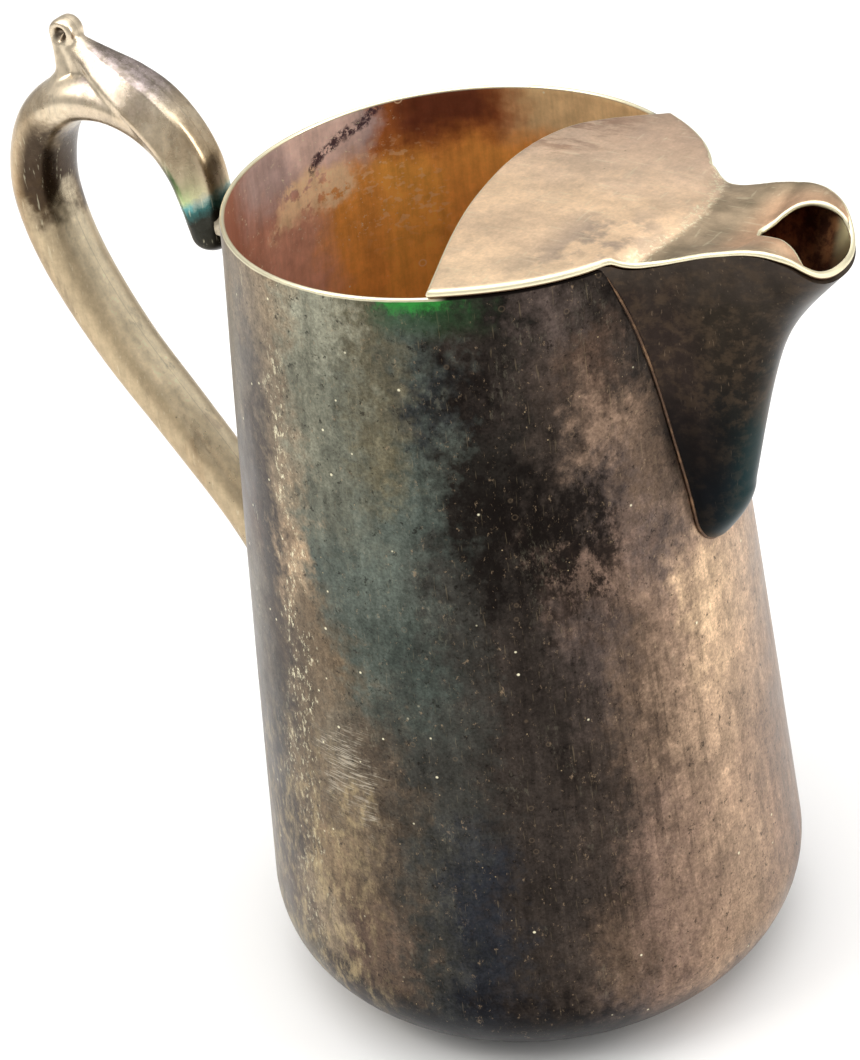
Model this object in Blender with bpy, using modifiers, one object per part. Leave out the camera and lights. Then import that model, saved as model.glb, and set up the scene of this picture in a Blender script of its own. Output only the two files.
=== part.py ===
"""Silver-plated cream jug with a covered spout and a scrolled loop handle.

The jug stands on z = 0 with its axis on Z. The spout points to +X and the handle to -X. The jug is
symmetrical about y = 0, apart from the inner edge of its cover, which was cut by hand. Sizes are in
millimetres and become metres when a mesh is made.
"""

import math

import bmesh
import bpy
import numpy as np

MM = 0.001

# Body: a tapered wall that rolls in at the foot to a set-in flat bottom.
BODY_HEIGHT = 114.0
RIM_RADIUS = 29.0
BELLY_RADIUS = 37.1
BELLY_BULGE = 0.24
HEEL_HEIGHT = 13.6
HEEL_WIDTH = 16.5
HEEL_ROUNDNESS = 2.1
SHEET = 0.8
SOLDER_GAP = 0.3
TURNED_STEPS = 72

# The mouth is drawn out towards the spout, most at the rim and between these angles from +X.
MOUTH_FLARE = 1.75
MOUTH_FLARE_DEPTH = 30.0
MOUTH_FLARE_NONE = math.radians(64)
MOUTH_FLARE_FULL = math.radians(20)

# Spout: a hollow beak soldered over a cut-out in the wall.
SPOUT_FOOT = 71.4
SPOUT_WAIST = 76.0
SPOUT_WAIST_HALF_WIDTH = 4.4
SPOUT_MOUTH_HALF_WIDTH = 13.9
SPOUT_WIDENING = 1.5
KEEL_TUCK = 9.2
KEEL_SHOULDER = 80.0
KEEL_SHOULDER_REACH = 6.1
KEEL_STRAIGHT_REACH = 10.0
KEEL_TOP_REACH = 22.5
KEEL_SWEEP = 4.0
FOOT_FLARE = 0.3
TOP_FLARE = 2.85
FLARE_SHARE = 0.175
LIP_TAPER = 0.2
LIP_BLUNTNESS = 4.8
LIP_BLUNTS_LATE = 10
SECTION_EASE = 1.3
FREE_LIP = (49.3, 50.6)
LIP_RISE = 16.0
WALL_TOP_SLANT = 0.6
SPOUT_ROWS = 18
SPOUT_COLUMNS = 14
CUT_OUT_FOOT = 77.0
CUT_OUT_MARGIN = 1.6

# Half cover: a flat half-moon on the rim that runs on as the roof of the spout.
COVER_UNDERSIDE = BODY_HEIGHT + SOLDER_GAP
COVER_TOP = COVER_UNDERSIDE + SHEET
COVER_INNER_EDGE = [
    (12.5, -26.5), (10.8, -22.0), (7.8, -13.8), (5.6, -6.4), (4.3, 0.5), (3.8, 6.5), (4.4, 12.5),
    (6.3, 17.3), (9.4, 20.3), (12.6, 22.3), (16.3, 24.3),
]
COVER_OVERHANG = 0.35
COVER_ARC_STEPS = 12
ROOF_START = 30.6

# Heights of the roof's edges and of its middle above the rim plane, from the cover out to the lip:
# (x, height). The middle stays level with the cover, dips, and rises again round the pouring hole.
ROOF_EDGE = [
    (28.4, 1.1), (29.6, 0.35), (30.9, 0.05), (32.3, 0.2), (34.0, 0.6), (36.0, 1.25), (38.3, 2.0),
    (40.6, 2.55), (43.0, 2.9), (45.2, 2.8), (46.8, 2.3), (48.0, 1.6), (48.8, 0.75), (49.5, -0.15),
    (50.1, -0.9), (50.7, -1.5), (51.2, -1.85), (51.8, -2.1),
]
ROOF_MIDDLE = [
    (28.4, 1.1), (31.6, 1.1), (33.4, 0.85), (36.0, 0.65), (38.5, 0.6), (41.1, 0.75), (42.2, 1.5),
    (43.3, 2.2), (44.8, 2.7), (46.3, 2.9), (47.4, 2.6), (48.2, 1.9), (49.2, 0.4), (50.2, -0.9),
    (51.8, -2.0),
]

# Half of the tear-shaped pouring hole in the roof: (x, y), from its point to the lip.
POURING_HOLE = [(41.1, 0.0), (41.7, 1.6), (43.3, 3.6), (44.8, 4.4), (46.3, 4.7), (47.6, 5.0), (48.5, 5.1)]

# Handle: a swept hollow loop that ends as the upper arm: (x, z, thickness, width, ridge).
HANDLE_PATH = [
    (-34.0, 36.5, 2.4, 3.4, 0.0),
    (-35.5, 43.0, 4.8, 5.8, 0.0),
    (-38.0, 50.8, 6.2, 7.2, 0.0),
    (-42.4, 59.4, 6.8, 8.0, 0.0),
    (-50.2, 70.0, 7.0, 8.4, 0.0),
    (-58.5, 81.0, 7.2, 8.8, 0.0),
    (-64.6, 92.2, 7.4, 9.6, 0.0),
    (-67.1, 101.4, 7.5, 10.4, 0.0),
    (-66.5, 108.2, 7.4, 10.6, 0.0),
    (-63.7, 114.2, 7.2, 10.4, 0.0),
    (-58.8, 117.8, 7.0, 10.2, 0.2),
    (-53.0, 119.2, 7.6, 10.0, 0.5),
    (-47.5, 118.3, 7.9, 9.8, 0.9),
    (-43.0, 115.6, 7.8, 9.4, 1.0),
    (-40.1, 111.5, 7.0, 8.8, 0.8),
    (-39.3, 106.5, 6.0, 8.2, 0.4),
    (-39.0, 101.4, 5.6, 7.4, 0.0),
]
# Thumb scroll: a tapered leaf that rises off the upper arm: (x, z, thickness, width, ridge).
SCROLL_PATH = [
    (-45.5, 117.2, 6.4, 4.2, 0.0),
    (-50.0, 119.8, 6.4, 4.6, 0.0),
    (-54.0, 121.8, 6.0, 4.8, 0.0),
    (-56.8, 123.8, 5.2, 4.2, 0.0),
    (-58.0, 126.2, 3.8, 3.6, 0.0),
]
SCROLL_EYE = (-58.0, 126.8)
SCROLL_EYE_RADIUS = 2.05
SCROLL_EYE_WIDTH = 3.2
ROUND_END_ANGLES = (25, 50, 70, 85)
RIDGE_NARROWING = 0.3
LEAST_HALF_SECTION = 0.15
HANDLE_SHEET = 1.0
HANDLE_SIDES = 20
HANDLE_STEPS = 3

# Upper boss: a short round stud between the arm and the wall.
BOSS_HEIGHT = 102.9
BOSS_RADIUS = 2.6
BOSS_OUTER_END = -36.4


def through(points, steps):
    """Points along a smooth Catmull-Rom curve through the given ones, with steps spans between two."""
    keys = np.array(points, float)
    keys = np.vstack([2 * keys[0] - keys[1], keys, 2 * keys[-1] - keys[-2]])
    found = []
    for a, b, c, d in zip(keys, keys[1:], keys[2:], keys[3:]):
        for step in range(steps):
            t = step / steps
            bend = (2 * a - 5 * b + 4 * c - d) * t**2
            twist = (3 * b - a - 3 * c + d) * t**3
            found.append(0.5 * (2 * b + (c - a) * t + bend + twist))
    found.append(keys[-2])
    return np.array(found)


def smooth_step(low, high, x):
    t = min(1.0, max(0.0, (x - low) / (high - low)))
    return t * t * (3 - 2 * t)


def wall_radius(z):
    """Outer radius of the tapered wall at height z."""
    up = (z - HEEL_HEIGHT) / (BODY_HEIGHT - HEEL_HEIGHT)
    return BELLY_RADIUS + (RIM_RADIUS - BELLY_RADIUS) * up + BELLY_BULGE * 4 * up * (1 - up)


def mouth_flare(z, angle):
    """How far the wall is drawn out towards the spout at this height and angle from +X."""
    height_share = smooth_step(BODY_HEIGHT - MOUTH_FLARE_DEPTH, BODY_HEIGHT, z)
    angle_share = smooth_step(-MOUTH_FLARE_NONE, -MOUTH_FLARE_FULL, -abs(angle))
    return MOUTH_FLARE * height_share * angle_share


def spout_half_width(z):
    """Half of the spout's width where it meets the wall: a rounded foot, then a widening V."""
    if z < SPOUT_WAIST:
        drop = (SPOUT_WAIST - z) / (SPOUT_WAIST - SPOUT_FOOT + 0.05)
        return SPOUT_WAIST_HALF_WIDTH * math.sqrt(1 - drop**2)
    up = (z - SPOUT_WAIST) / (BODY_HEIGHT - SPOUT_WAIST)
    return SPOUT_WAIST_HALF_WIDTH + (SPOUT_MOUTH_HALF_WIDTH - SPOUT_WAIST_HALF_WIDTH) * up**SPOUT_WIDENING


def spout_reach(z):
    """How far the spout's keel stands out of the wall at height z."""
    if z < KEEL_SHOULDER:
        return KEEL_SHOULDER_REACH * (1 - ((KEEL_SHOULDER - z) / KEEL_TUCK) ** 1.5)
    up = (z - KEEL_SHOULDER) / (BODY_HEIGHT - KEEL_SHOULDER)
    swept = KEEL_TOP_REACH - KEEL_SHOULDER_REACH - KEEL_STRAIGHT_REACH
    return KEEL_SHOULDER_REACH + KEEL_STRAIGHT_REACH * up + swept * up**KEEL_SWEEP


def spout_section(z, turn):
    """(x, y) on the spout's outer skin at height z: turn goes from 0 at the wall to 1 at the keel.

    The section is a superellipse that grows squarer along its sides towards the top, and it runs out
    into a small flare where it meets the wall.
    """
    up = smooth_step(KEEL_SHOULDER, BODY_HEIGHT, z)
    half_width = spout_half_width(z)
    flare = min(FOOT_FLARE + TOP_FLARE * up, 0.25 * half_width)
    wall = wall_radius(z)
    skin = wall + mouth_flare(z, math.asin(half_width / wall)) - SHEET
    root = math.sqrt(skin**2 - half_width**2)
    depth = wall + spout_reach(z) - root
    along_power = 2.1 + 1.1 * up + LIP_BLUNTNESS * up**LIP_BLUNTS_LATE
    along = 1 - (1 - turn**SECTION_EASE) ** 2
    side = math.sqrt(1 - along**along_power) * (1 - LIP_TAPER * up * along)
    y = (half_width - flare) * side + flare * math.exp(-((along / FLARE_SHARE) ** 2)) * (1 - along)
    return root + depth * along, y


def height_along(line, x):
    """Height above the rim plane at this x of a smooth line through (x, height) points."""
    curve = through(line, 6)
    return float(np.interp(x, curve[:, 0], curve[:, 1]))


def lip_outline(count):
    """The spout's outline seen from above, from the wall to the tip, on the +Y side."""
    return [spout_section(BODY_HEIGHT, step / (count - 1)) for step in range(count)]


def lip_half_width(x):
    outline = np.array(lip_outline(40))
    return float(np.interp(x, outline[:, 0], outline[:, 1]))


def roof_top(x, y):
    """Height of the cover's top skin: flat over the mouth, then bending from edge to middle."""
    if x < ROOF_START:
        return COVER_TOP
    edge = height_along(ROOF_EDGE, x)
    across = min(1.0, abs(y) / max(lip_half_width(x), 1.0))
    return BODY_HEIGHT + edge + (height_along(ROOF_MIDDLE, x) - edge) * (1 - across**2)


def collection(name):
    made = bpy.data.collections.new(name)
    bpy.context.scene.collection.children.link(made)
    return made


def material(name, colour, roughness):
    made = bpy.data.materials.new(name)
    made.use_nodes = True
    shader = made.node_tree.nodes["Principled BSDF"]
    shader.inputs["Base Color"].default_value = (*colour, 1)
    shader.inputs["Roughness"].default_value = roughness
    shader.inputs["Metallic"].default_value = 1.0
    return made


def mesh_object(name, points, faces, home, edges=()):
    mesh = bpy.data.meshes.new(name)
    mesh.from_pydata([[MM * value for value in point] for point in points], list(edges), faces)
    mesh.update()
    made = bpy.data.objects.new(name, mesh)
    home.objects.link(made)
    return made


def outward(obj):
    """Turns the faces of a closed mesh out."""
    work = bmesh.new()
    work.from_mesh(obj.data)
    bmesh.ops.recalc_face_normals(work, faces=work.faces)
    work.to_mesh(obj.data)
    work.free()
    return obj


def finish_part(obj, finish, sharp_angle=35):
    obj.data.materials.append(finish)
    obj.data.shade_smooth()
    obj.data.set_sharp_from_angle(angle=math.radians(sharp_angle))
    return obj


def boolean(obj, other, operation):
    step = obj.modifiers.new(f"{operation.lower()} {other.name}", "BOOLEAN")
    step.operation = operation
    step.object = other
    return obj


def solidify(obj, thickness):
    """Gives an open surface its sheet thickness, towards the inside."""
    step = obj.modifiers.new("sheet", "SOLIDIFY")
    step.thickness = thickness * MM
    step.offset = -1
    step.use_even_offset = True
    return obj


def turned(name, profile, home):
    """A profile in the XZ plane, given top to bottom, turned about Z and drawn out at the mouth."""
    points = [(r, 0, z) for r, z in profile]
    edges = [(i, i + 1) for i in range(len(points) - 1)]
    made = mesh_object(name, points, [], home, edges)
    step = made.modifiers.new("turn", "SCREW")
    step.steps = TURNED_STEPS
    step.render_steps = TURNED_STEPS
    step.use_merge_vertices = True
    step.merge_threshold = 0.00001
    made = as_mesh(made, home)
    for vertex in made.data.vertices:
        x, y, z = vertex.co
        radius, angle = math.hypot(x, y), math.atan2(y, x)
        if radius > 0:
            stretch = 1 + mouth_flare(z / MM, angle) * MM / radius
            vertex.co = (x * stretch, y * stretch, z)
    return made


def as_mesh(obj, home):
    """The object with its modifiers made real."""
    graph = bpy.context.evaluated_depsgraph_get()
    mesh = bpy.data.meshes.new_from_object(obj.evaluated_get(graph))
    name = obj.name
    bpy.data.objects.remove(obj)
    made = bpy.data.objects.new(name, mesh)
    home.objects.link(made)
    return made


def prism(name, outline, low, high, home, axis="Z"):
    """A closed outline extruded from low to high along Z, or along X with the outline in YZ."""
    place = (lambda a, b, c: (a, b, c)) if axis == "Z" else (lambda a, b, c: (c, a, b))
    count = len(outline)
    points = [place(a, b, low) for a, b in outline] + [place(a, b, high) for a, b in outline]
    faces = [list(range(count)), list(range(2 * count - 1, count - 1, -1))]
    faces += [(i, (i + 1) % count, count + (i + 1) % count, count + i) for i in range(count)]
    return outward(mesh_object(name, points, faces, home))


def cutter(obj):
    obj.hide_render = True
    obj.display_type = "WIRE"
    return obj


def make_body(home, finish, cut_out):
    wall = [(wall_radius(z), z) for z in np.linspace(BODY_HEIGHT, HEEL_HEIGHT, 9)]
    heel = []
    for angle in np.linspace(0, math.pi / 2, 11)[1:]:
        inward = HEEL_WIDTH * (1 - math.cos(angle) ** (2 / HEEL_ROUNDNESS))
        down = HEEL_HEIGHT * math.sin(angle) ** (2 / HEEL_ROUNDNESS)
        heel.append((BELLY_RADIUS - inward, HEEL_HEIGHT - down))
    body = turned("body_shell", wall + heel, home)
    solidify(body, SHEET)
    boolean(body, cut_out, "DIFFERENCE")
    return finish_part(body, finish)


def make_base(home, finish):
    """The flat bottom, let in flush inside the rolled heel."""
    radius = BELLY_RADIUS - HEEL_WIDTH - SOLDER_GAP
    bpy.ops.mesh.primitive_cylinder_add(vertices=TURNED_STEPS, radius=radius * MM, depth=SHEET * MM)
    base = bpy.context.object
    base.name = base.data.name = "base_disc"
    base.location.z = SHEET / 2 * MM
    for owner in list(base.users_collection):
        owner.objects.unlink(base)
    home.objects.link(base)
    return finish_part(base, finish)


def make_cut_out(helpers):
    """Cuts the wall open behind the spout, from its foot up through the rim."""
    side = []
    for z in np.linspace(CUT_OUT_FOOT, BODY_HEIGHT, 12):
        side.append((spout_half_width(z) - CUT_OUT_MARGIN, z))
    side.append((side[-1][0], BODY_HEIGHT + 6))
    outline = side + [(-y, z) for y, z in reversed(side)]
    return cutter(prism("cut_out", outline, 18, 44, helpers, axis="X"))


def make_wall_keeper(helpers):
    """A solid of the body's outer shape, a solder gap larger, that trims what is soldered to it."""
    profile = [(0, BODY_HEIGHT + 8)]
    for z in np.linspace(BODY_HEIGHT + 8, HEEL_HEIGHT, 12):
        profile.append((wall_radius(z) + SOLDER_GAP, z))
    profile.append((0, HEEL_HEIGHT))
    return cutter(turned("wall_keeper", profile, helpers))


def make_spout(home, finish, wall_keeper):
    """A loft of level sections, each an open U from the wall round the keel and back."""
    rows, columns = SPOUT_ROWS, SPOUT_COLUMNS
    points = []
    for row in range(rows + 1):
        level = SPOUT_FOOT + (BODY_HEIGHT - SPOUT_FOOT) * (row / rows) ** 1.4
        rise_share = smooth_step(BODY_HEIGHT - LIP_RISE, BODY_HEIGHT, level)
        for column in range(-columns, columns + 1):
            x, y = spout_section(level, 1 - abs(column) / columns)
            lip_x, _ = spout_section(BODY_HEIGHT, 1 - abs(column) / columns)
            # The roof sits on the side walls, whose leaning tops slant up inwards, and the front of
            # the lip stands free of it.
            under_roof = 1 - smooth_step(*FREE_LIP, lip_x)
            edge = height_along(ROOF_EDGE, lip_x) - (SHEET + SOLDER_GAP + WALL_TOP_SLANT) * under_roof
            points.append((x, math.copysign(y, column), level + rise_share * edge))
    width = 2 * columns + 1
    faces = []
    for row in range(rows):
        for column in range(width - 1):
            a = row * width + column
            faces.append((a, a + 1, a + width + 1, a + width))
    spout = mesh_object("spout", points, faces, home)
    solidify(spout, SHEET)
    # The sheet folds over itself in the narrow foot, which the wall keeper then trims away.
    boolean(spout, wall_keeper, "DIFFERENCE").modifiers[-1].use_self = True
    return finish_part(spout, finish)


def cover_outline():
    """The half cover seen from above: its inner edge, the rim either side, and the spout's roof."""
    rim = RIM_RADIUS + COVER_OVERHANG
    lip = []
    for x, y in lip_outline(30):
        if math.hypot(x, y) > rim + mouth_flare(BODY_HEIGHT, math.atan2(y, x)):
            lip.append((x, y))
    notch = math.atan2(lip[0][1], lip[0][0])

    def along_rim(start, end):
        found = []
        for angle in np.linspace(start, end, COVER_ARC_STEPS)[1:-1]:
            edge = rim + mouth_flare(BODY_HEIGHT, angle)
            found.append((edge * math.cos(angle), edge * math.sin(angle)))
        return found

    (near_x, near_y), (far_x, far_y) = COVER_INNER_EDGE[0], COVER_INNER_EDGE[-1]
    inner = [(x, y) for x, y in through(COVER_INNER_EDGE, 2)]
    far_side = along_rim(math.atan2(far_y, far_x), notch) + lip
    near_side = [(x, -y) for x, y in reversed(lip[:-1])] + along_rim(-notch, math.atan2(near_y, near_x))
    return inner + far_side + near_side


def make_cover(home, finish, helpers):
    """A sheet shaped over a grid, then trimmed to its outline and pierced by the pouring hole."""
    lines_x = [0.0, 14.0, 28.0] + list(np.arange(ROOF_START, 55.0, 1.5))
    half_y = list(np.arange(0.0, 13.6, 1.5)) + [20.0, 34.0]
    lines_y = [-y for y in reversed(half_y[1:])] + half_y
    points = [(x, y, roof_top(x, y)) for x in lines_x for y in lines_y]
    width = len(lines_y)
    faces = []
    for i in range(len(lines_x) - 1):
        for j in range(width - 1):
            a = i * width + j
            faces.append((a, a + width, a + width + 1, a + 1))
    cover = mesh_object("half_cover", points, faces, home)
    solidify(cover, SHEET)
    low, high = BODY_HEIGHT - 10, BODY_HEIGHT + 10
    outline = prism("cover_outline", cover_outline(), low, high, helpers)
    hole_side = [(x, y) for x, y in through(POURING_HOLE, 3)[1:]]
    # Past its prongs the roof ends, and the lip stands open.
    hole_side += [(hole_side[-1][0], 12.0), (60.0, 12.0)]
    hole = [POURING_HOLE[0]] + hole_side + [(x, -y) for x, y in reversed(hole_side)]
    boolean(cover, cutter(outline), "INTERSECT")
    boolean(cover, cutter(prism("pouring_hole", hole, low, high, helpers)), "DIFFERENCE")
    return finish_part(cover, finish)


def sweep(name, path, shrink, home, round_end=False):
    """A closed tube along a path in the XZ plane, its oval section narrowed to a ridge on the outside."""
    stations = through(path, HANDLE_STEPS)
    if round_end:
        stations = np.vstack([stations, rounded_end(stations)])
    tangents = np.gradient(stations[:, :2], axis=0)
    points = []
    for (x, z, thickness, width, ridge), (along_x, along_z) in zip(stations, tangents):
        length = math.hypot(along_x, along_z)
        out_x, out_z = -along_z / length, along_x / length
        thick = max(thickness / 2 - shrink, LEAST_HALF_SECTION)
        wide = max(width / 2 - shrink, LEAST_HALF_SECTION)
        for side in range(HANDLE_SIDES):
            angle = 2 * math.pi * side / HANDLE_SIDES
            outer = max(0.0, math.cos(angle))
            out = thick * math.cos(angle)
            y = wide * math.sin(angle) * (1 - RIDGE_NARROWING * ridge * outer)
            points.append((x + out * out_x, y, z + out * out_z))
    rings = len(stations)
    last = (rings - 1) * HANDLE_SIDES
    faces = [list(range(HANDLE_SIDES)), list(range(last, last + HANDLE_SIDES))]
    for ring in range(rings - 1):
        for side in range(HANDLE_SIDES):
            a = ring * HANDLE_SIDES + side
            b = ring * HANDLE_SIDES + (side + 1) % HANDLE_SIDES
            faces.append((a, b, b + HANDLE_SIDES, a + HANDLE_SIDES))
    return outward(mesh_object(name, points, faces, home))


def rounded_end(stations):
    """A few more stations that close the tube with a dome."""
    x, z, thickness, width, ridge = stations[-1]
    step = stations[-1, :2] - stations[-2, :2]
    step /= np.linalg.norm(step)
    found = []
    for angle in np.radians(ROUND_END_ANGLES):
        along_x, along_z = step * thickness / 2 * math.sin(angle)
        scale = math.cos(angle)
        found.append((x + along_x, z + along_z, thickness * scale, width * scale, ridge))
    return found


def make_scroll_eye(helpers):
    """The small rolled volute at the tip of the thumb scroll."""
    bpy.ops.mesh.primitive_cylinder_add(
        vertices=20, radius=SCROLL_EYE_RADIUS * MM, depth=SCROLL_EYE_WIDTH * MM,
        location=(SCROLL_EYE[0] * MM, 0, SCROLL_EYE[1] * MM), rotation=(math.pi / 2, 0, 0),
    )
    eye = bpy.context.object
    eye.name = "scroll_eye"
    for owner in list(eye.users_collection):
        owner.objects.unlink(eye)
    helpers.objects.link(eye)
    return cutter(eye)


def make_handle(home, finish, helpers, wall_keeper):
    """Two die-struck hollow halves that meet on the jug's mirror plane."""
    scroll = cutter(sweep("scroll", SCROLL_PATH, 0, helpers))
    eye = make_scroll_eye(helpers)
    hollow = cutter(sweep("handle_hollow", HANDLE_PATH[:-1], HANDLE_SHEET, helpers))
    halves = []
    for name, side in (("handle_left_half", 1), ("handle_right_half", -1)):
        half = sweep(name, HANDLE_PATH, 0, home, round_end=True)
        near, far = sorted((side * SOLDER_GAP / 2, -side * 20))
        box = prism(f"{name}_trim", [(-90, near), (-20, near), (-20, far), (-90, far)], 20, 140, helpers)
        boolean(half, scroll, "UNION")
        boolean(half, eye, "UNION")
        boolean(half, hollow, "DIFFERENCE")
        boolean(half, wall_keeper, "DIFFERENCE")
        boolean(half, cutter(box), "DIFFERENCE")
        halves.append(finish_part(half, finish))
    return halves


def make_boss(home, finish, helpers, wall_keeper):
    """The stud that holds the upper arm off the wall."""
    length = -RIM_RADIUS + 4 - BOSS_OUTER_END
    bpy.ops.mesh.primitive_cylinder_add(
        vertices=24, radius=BOSS_RADIUS * MM, depth=length * MM,
        location=((BOSS_OUTER_END + length / 2) * MM, 0, BOSS_HEIGHT * MM), rotation=(0, math.pi / 2, 0),
    )
    boss = bpy.context.object
    boss.name = boss.data.name = "upper_boss"
    for owner in list(boss.users_collection):
        owner.objects.unlink(boss)
    home.objects.link(boss)
    boolean(boss, wall_keeper, "DIFFERENCE")
    arm = cutter(sweep("arm_keeper", HANDLE_PATH[-5:], -SOLDER_GAP, helpers, round_end=True))
    boolean(boss, arm, "DIFFERENCE")
    return finish_part(boss, finish)


def main():
    for obj in list(bpy.data.objects):
        bpy.data.objects.remove(obj)
    jug = collection("cream_jug")
    helpers = collection("cutters")
    tarnished = material("tarnished_plate", (0.16, 0.14, 0.12), 0.38)
    cover_plate = material("worn_plate", (0.50, 0.43, 0.37), 0.42)
    spout_plate = material("dark_plate", (0.06, 0.07, 0.07), 0.35)
    handle_plate = material("bright_plate", (0.62, 0.55, 0.44), 0.25)

    cut_out = make_cut_out(helpers)
    wall_keeper = make_wall_keeper(helpers)
    make_body(jug, tarnished, cut_out)
    make_base(jug, tarnished)
    make_spout(jug, spout_plate, wall_keeper)
    make_cover(jug, cover_plate, helpers)
    make_handle(jug, handle_plate, helpers, wall_keeper)
    make_boss(jug, handle_plate, helpers, wall_keeper)


main()
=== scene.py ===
"""Looks for the silver cream jug: fine meshes, tarnished silver, floor, light and camera.

Shapes are drawn in millimetres in the part's own frame (spout to +X, handle to -X, base on z = 0) and
become metres when a mesh is made.
"""

import math

import bmesh
import bpy
import numpy as np
from mathutils import Matrix, Vector, geometry, noise


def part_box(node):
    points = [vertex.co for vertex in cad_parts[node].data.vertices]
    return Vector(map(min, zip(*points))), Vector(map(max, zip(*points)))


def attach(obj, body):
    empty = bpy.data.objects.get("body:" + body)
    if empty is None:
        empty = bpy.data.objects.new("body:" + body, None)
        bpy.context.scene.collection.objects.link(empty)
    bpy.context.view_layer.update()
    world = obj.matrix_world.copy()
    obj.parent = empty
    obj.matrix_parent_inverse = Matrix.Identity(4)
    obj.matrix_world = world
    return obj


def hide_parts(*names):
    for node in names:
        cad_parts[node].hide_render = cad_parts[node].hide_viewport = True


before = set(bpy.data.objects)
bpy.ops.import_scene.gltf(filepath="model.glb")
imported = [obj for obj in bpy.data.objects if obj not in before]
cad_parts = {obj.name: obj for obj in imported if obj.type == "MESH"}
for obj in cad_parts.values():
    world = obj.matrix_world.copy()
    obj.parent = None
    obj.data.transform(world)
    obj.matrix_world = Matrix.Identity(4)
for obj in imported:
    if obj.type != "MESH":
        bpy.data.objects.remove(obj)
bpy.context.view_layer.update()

MM = 0.001
BODY_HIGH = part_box("body_shell")[1]

# Body, as in the CAD: a tapered wall that rolls in at the foot.
BODY_HEIGHT = round(BODY_HIGH.z / MM, 2)
BELLY_RADIUS = round(BODY_HIGH.y / MM, 2)
RIM_RADIUS = 29.0
BELLY_BULGE = 0.24
HEEL_HEIGHT = 13.6
HEEL_WIDTH = 16.5
HEEL_ROUNDNESS = 2.1
SHEET = 0.8
RIM_SHEET = 0.62
MOUTH_FLARE = 1.75
MOUTH_FLARE_DEPTH = 30.0
MOUTH_FLARE_NONE = math.radians(64)
MOUTH_FLARE_FULL = math.radians(20)

# Spout: a hollow beak over a cut-out in the wall.
SPOUT_FOOT = 71.3
SPOUT_WAIST = 76.0
SPOUT_WAIST_HALF_WIDTH = 4.4
SPOUT_MOUTH_HALF_WIDTH = 13.9
SPOUT_WIDENING = 1.5
TOE_HEIGHT = 0.9
KEEL_TUCK = 9.2
KEEL_SHOULDER = 80.0
KEEL_SHOULDER_REACH = 6.1
KEEL_STRAIGHT_REACH = 10.0
KEEL_TOP_REACH = 22.45
KEEL_SWEEP = 4.0
FOOT_FLARE = 0.3
TOP_FLARE = 2.85
FLARE_SHARE = 0.175
LIP_TAPER = 0.2
LIP_BLUNTNESS = 4.8
LIP_BLUNTS_LATE = 10
SECTION_EASE = 1.3
LIP_RISE = 16.0
CUT_OUT_FOOT = 77.0
CUT_OUT_MARGIN = 1.6
SPOUT_SHEET = 0.7
SOLDER_RADIUS = 0.22

# Cover: a flat half-moon on the rim that runs on as the spout's roof.
COVER_TOP = 1.1
COVER_SHEET = 1.05
ROOF_SHEET = 0.72
LIP_SHEET = 1.0
ROOF_BEGINS = (26.5, 31)
LIP_BEGINS = (44.5, 48.5)
COVER_INNER_EDGE = [
    (12.5, -26.5), (10.8, -22.0), (7.8, -13.8), (5.6, -6.4), (4.3, 0.5), (3.8, 6.5), (4.4, 12.5),
    (6.3, 17.3), (9.4, 20.3), (12.6, 22.3), (16.3, 24.3),
]
COVER_OVERHANG = 0.3
# Heights of the roof's edges and of its middle above the rim plane: (x, height).
ROOF_EDGE = [
    (28.4, 1.1), (29.6, 0.35), (30.9, 0.05), (32.3, 0.2), (34.0, 0.6), (36.0, 1.25), (38.3, 2.0),
    (40.6, 2.55), (43.0, 2.9), (45.2, 2.8), (46.8, 2.3), (48.0, 1.6), (48.8, 0.75), (49.5, -0.15),
    (50.1, -0.9), (50.7, -1.5), (51.2, -1.85), (51.8, -2.1),
]
ROOF_MIDDLE = [
    (28.4, 1.1), (31.6, 1.1), (33.4, 0.85), (36.0, 0.65), (38.5, 0.6), (41.1, 0.75), (42.2, 1.5),
    (43.3, 2.2), (44.8, 2.7), (46.3, 2.9), (47.4, 2.6), (48.2, 1.9), (49.2, 0.4), (50.2, -0.9),
    (51.8, -2.0),
]
POURING_HOLE = [
    (41.1, 0.0), (41.7, 1.6), (43.3, 3.6), (44.8, 4.4), (46.3, 4.7), (47.6, 5.1), (48.6, 5.45),
    (49.3, 5.2), (49.9, 4.4), (50.3, 3.2), (50.55, 1.7), (50.6, 0.0),
]

# Handle: (x, z, thickness, width, arm), where arm goes from 0 on the loop to 1 on the upper arm.
HANDLE_PATH = [
    (-33.0, 33.0, 2.0, 3.0, 0.0),
    (-34.2, 37.4, 3.0, 4.0, 0.0),
    (-35.5, 43.0, 4.8, 5.8, 0.0),
    (-38.0, 50.8, 6.2, 7.2, 0.0),
    (-42.4, 59.4, 6.8, 8.0, 0.0),
    (-50.2, 70.0, 7.0, 8.4, 0.0),
    (-58.5, 81.0, 7.2, 8.8, 0.0),
    (-64.6, 92.2, 7.4, 9.4, 0.0),
    (-67.1, 101.4, 7.4, 10.0, 0.0),
    (-66.5, 108.2, 7.4, 10.2, 0.0),
    (-63.7, 114.2, 7.2, 10.0, 0.0),
    (-58.8, 117.8, 6.8, 9.6, 0.1),
    (-53.0, 118.9, 6.8, 9.2, 0.4),
    (-47.6, 117.9, 7.0, 8.8, 0.7),
    (-43.2, 115.2, 7.0, 8.6, 0.8),
    (-40.4, 111.2, 6.4, 8.2, 0.8),
    (-39.3, 106.5, 5.8, 7.6, 0.6),
    (-39.0, 101.4, 5.4, 7.0, 0.2),
]
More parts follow.
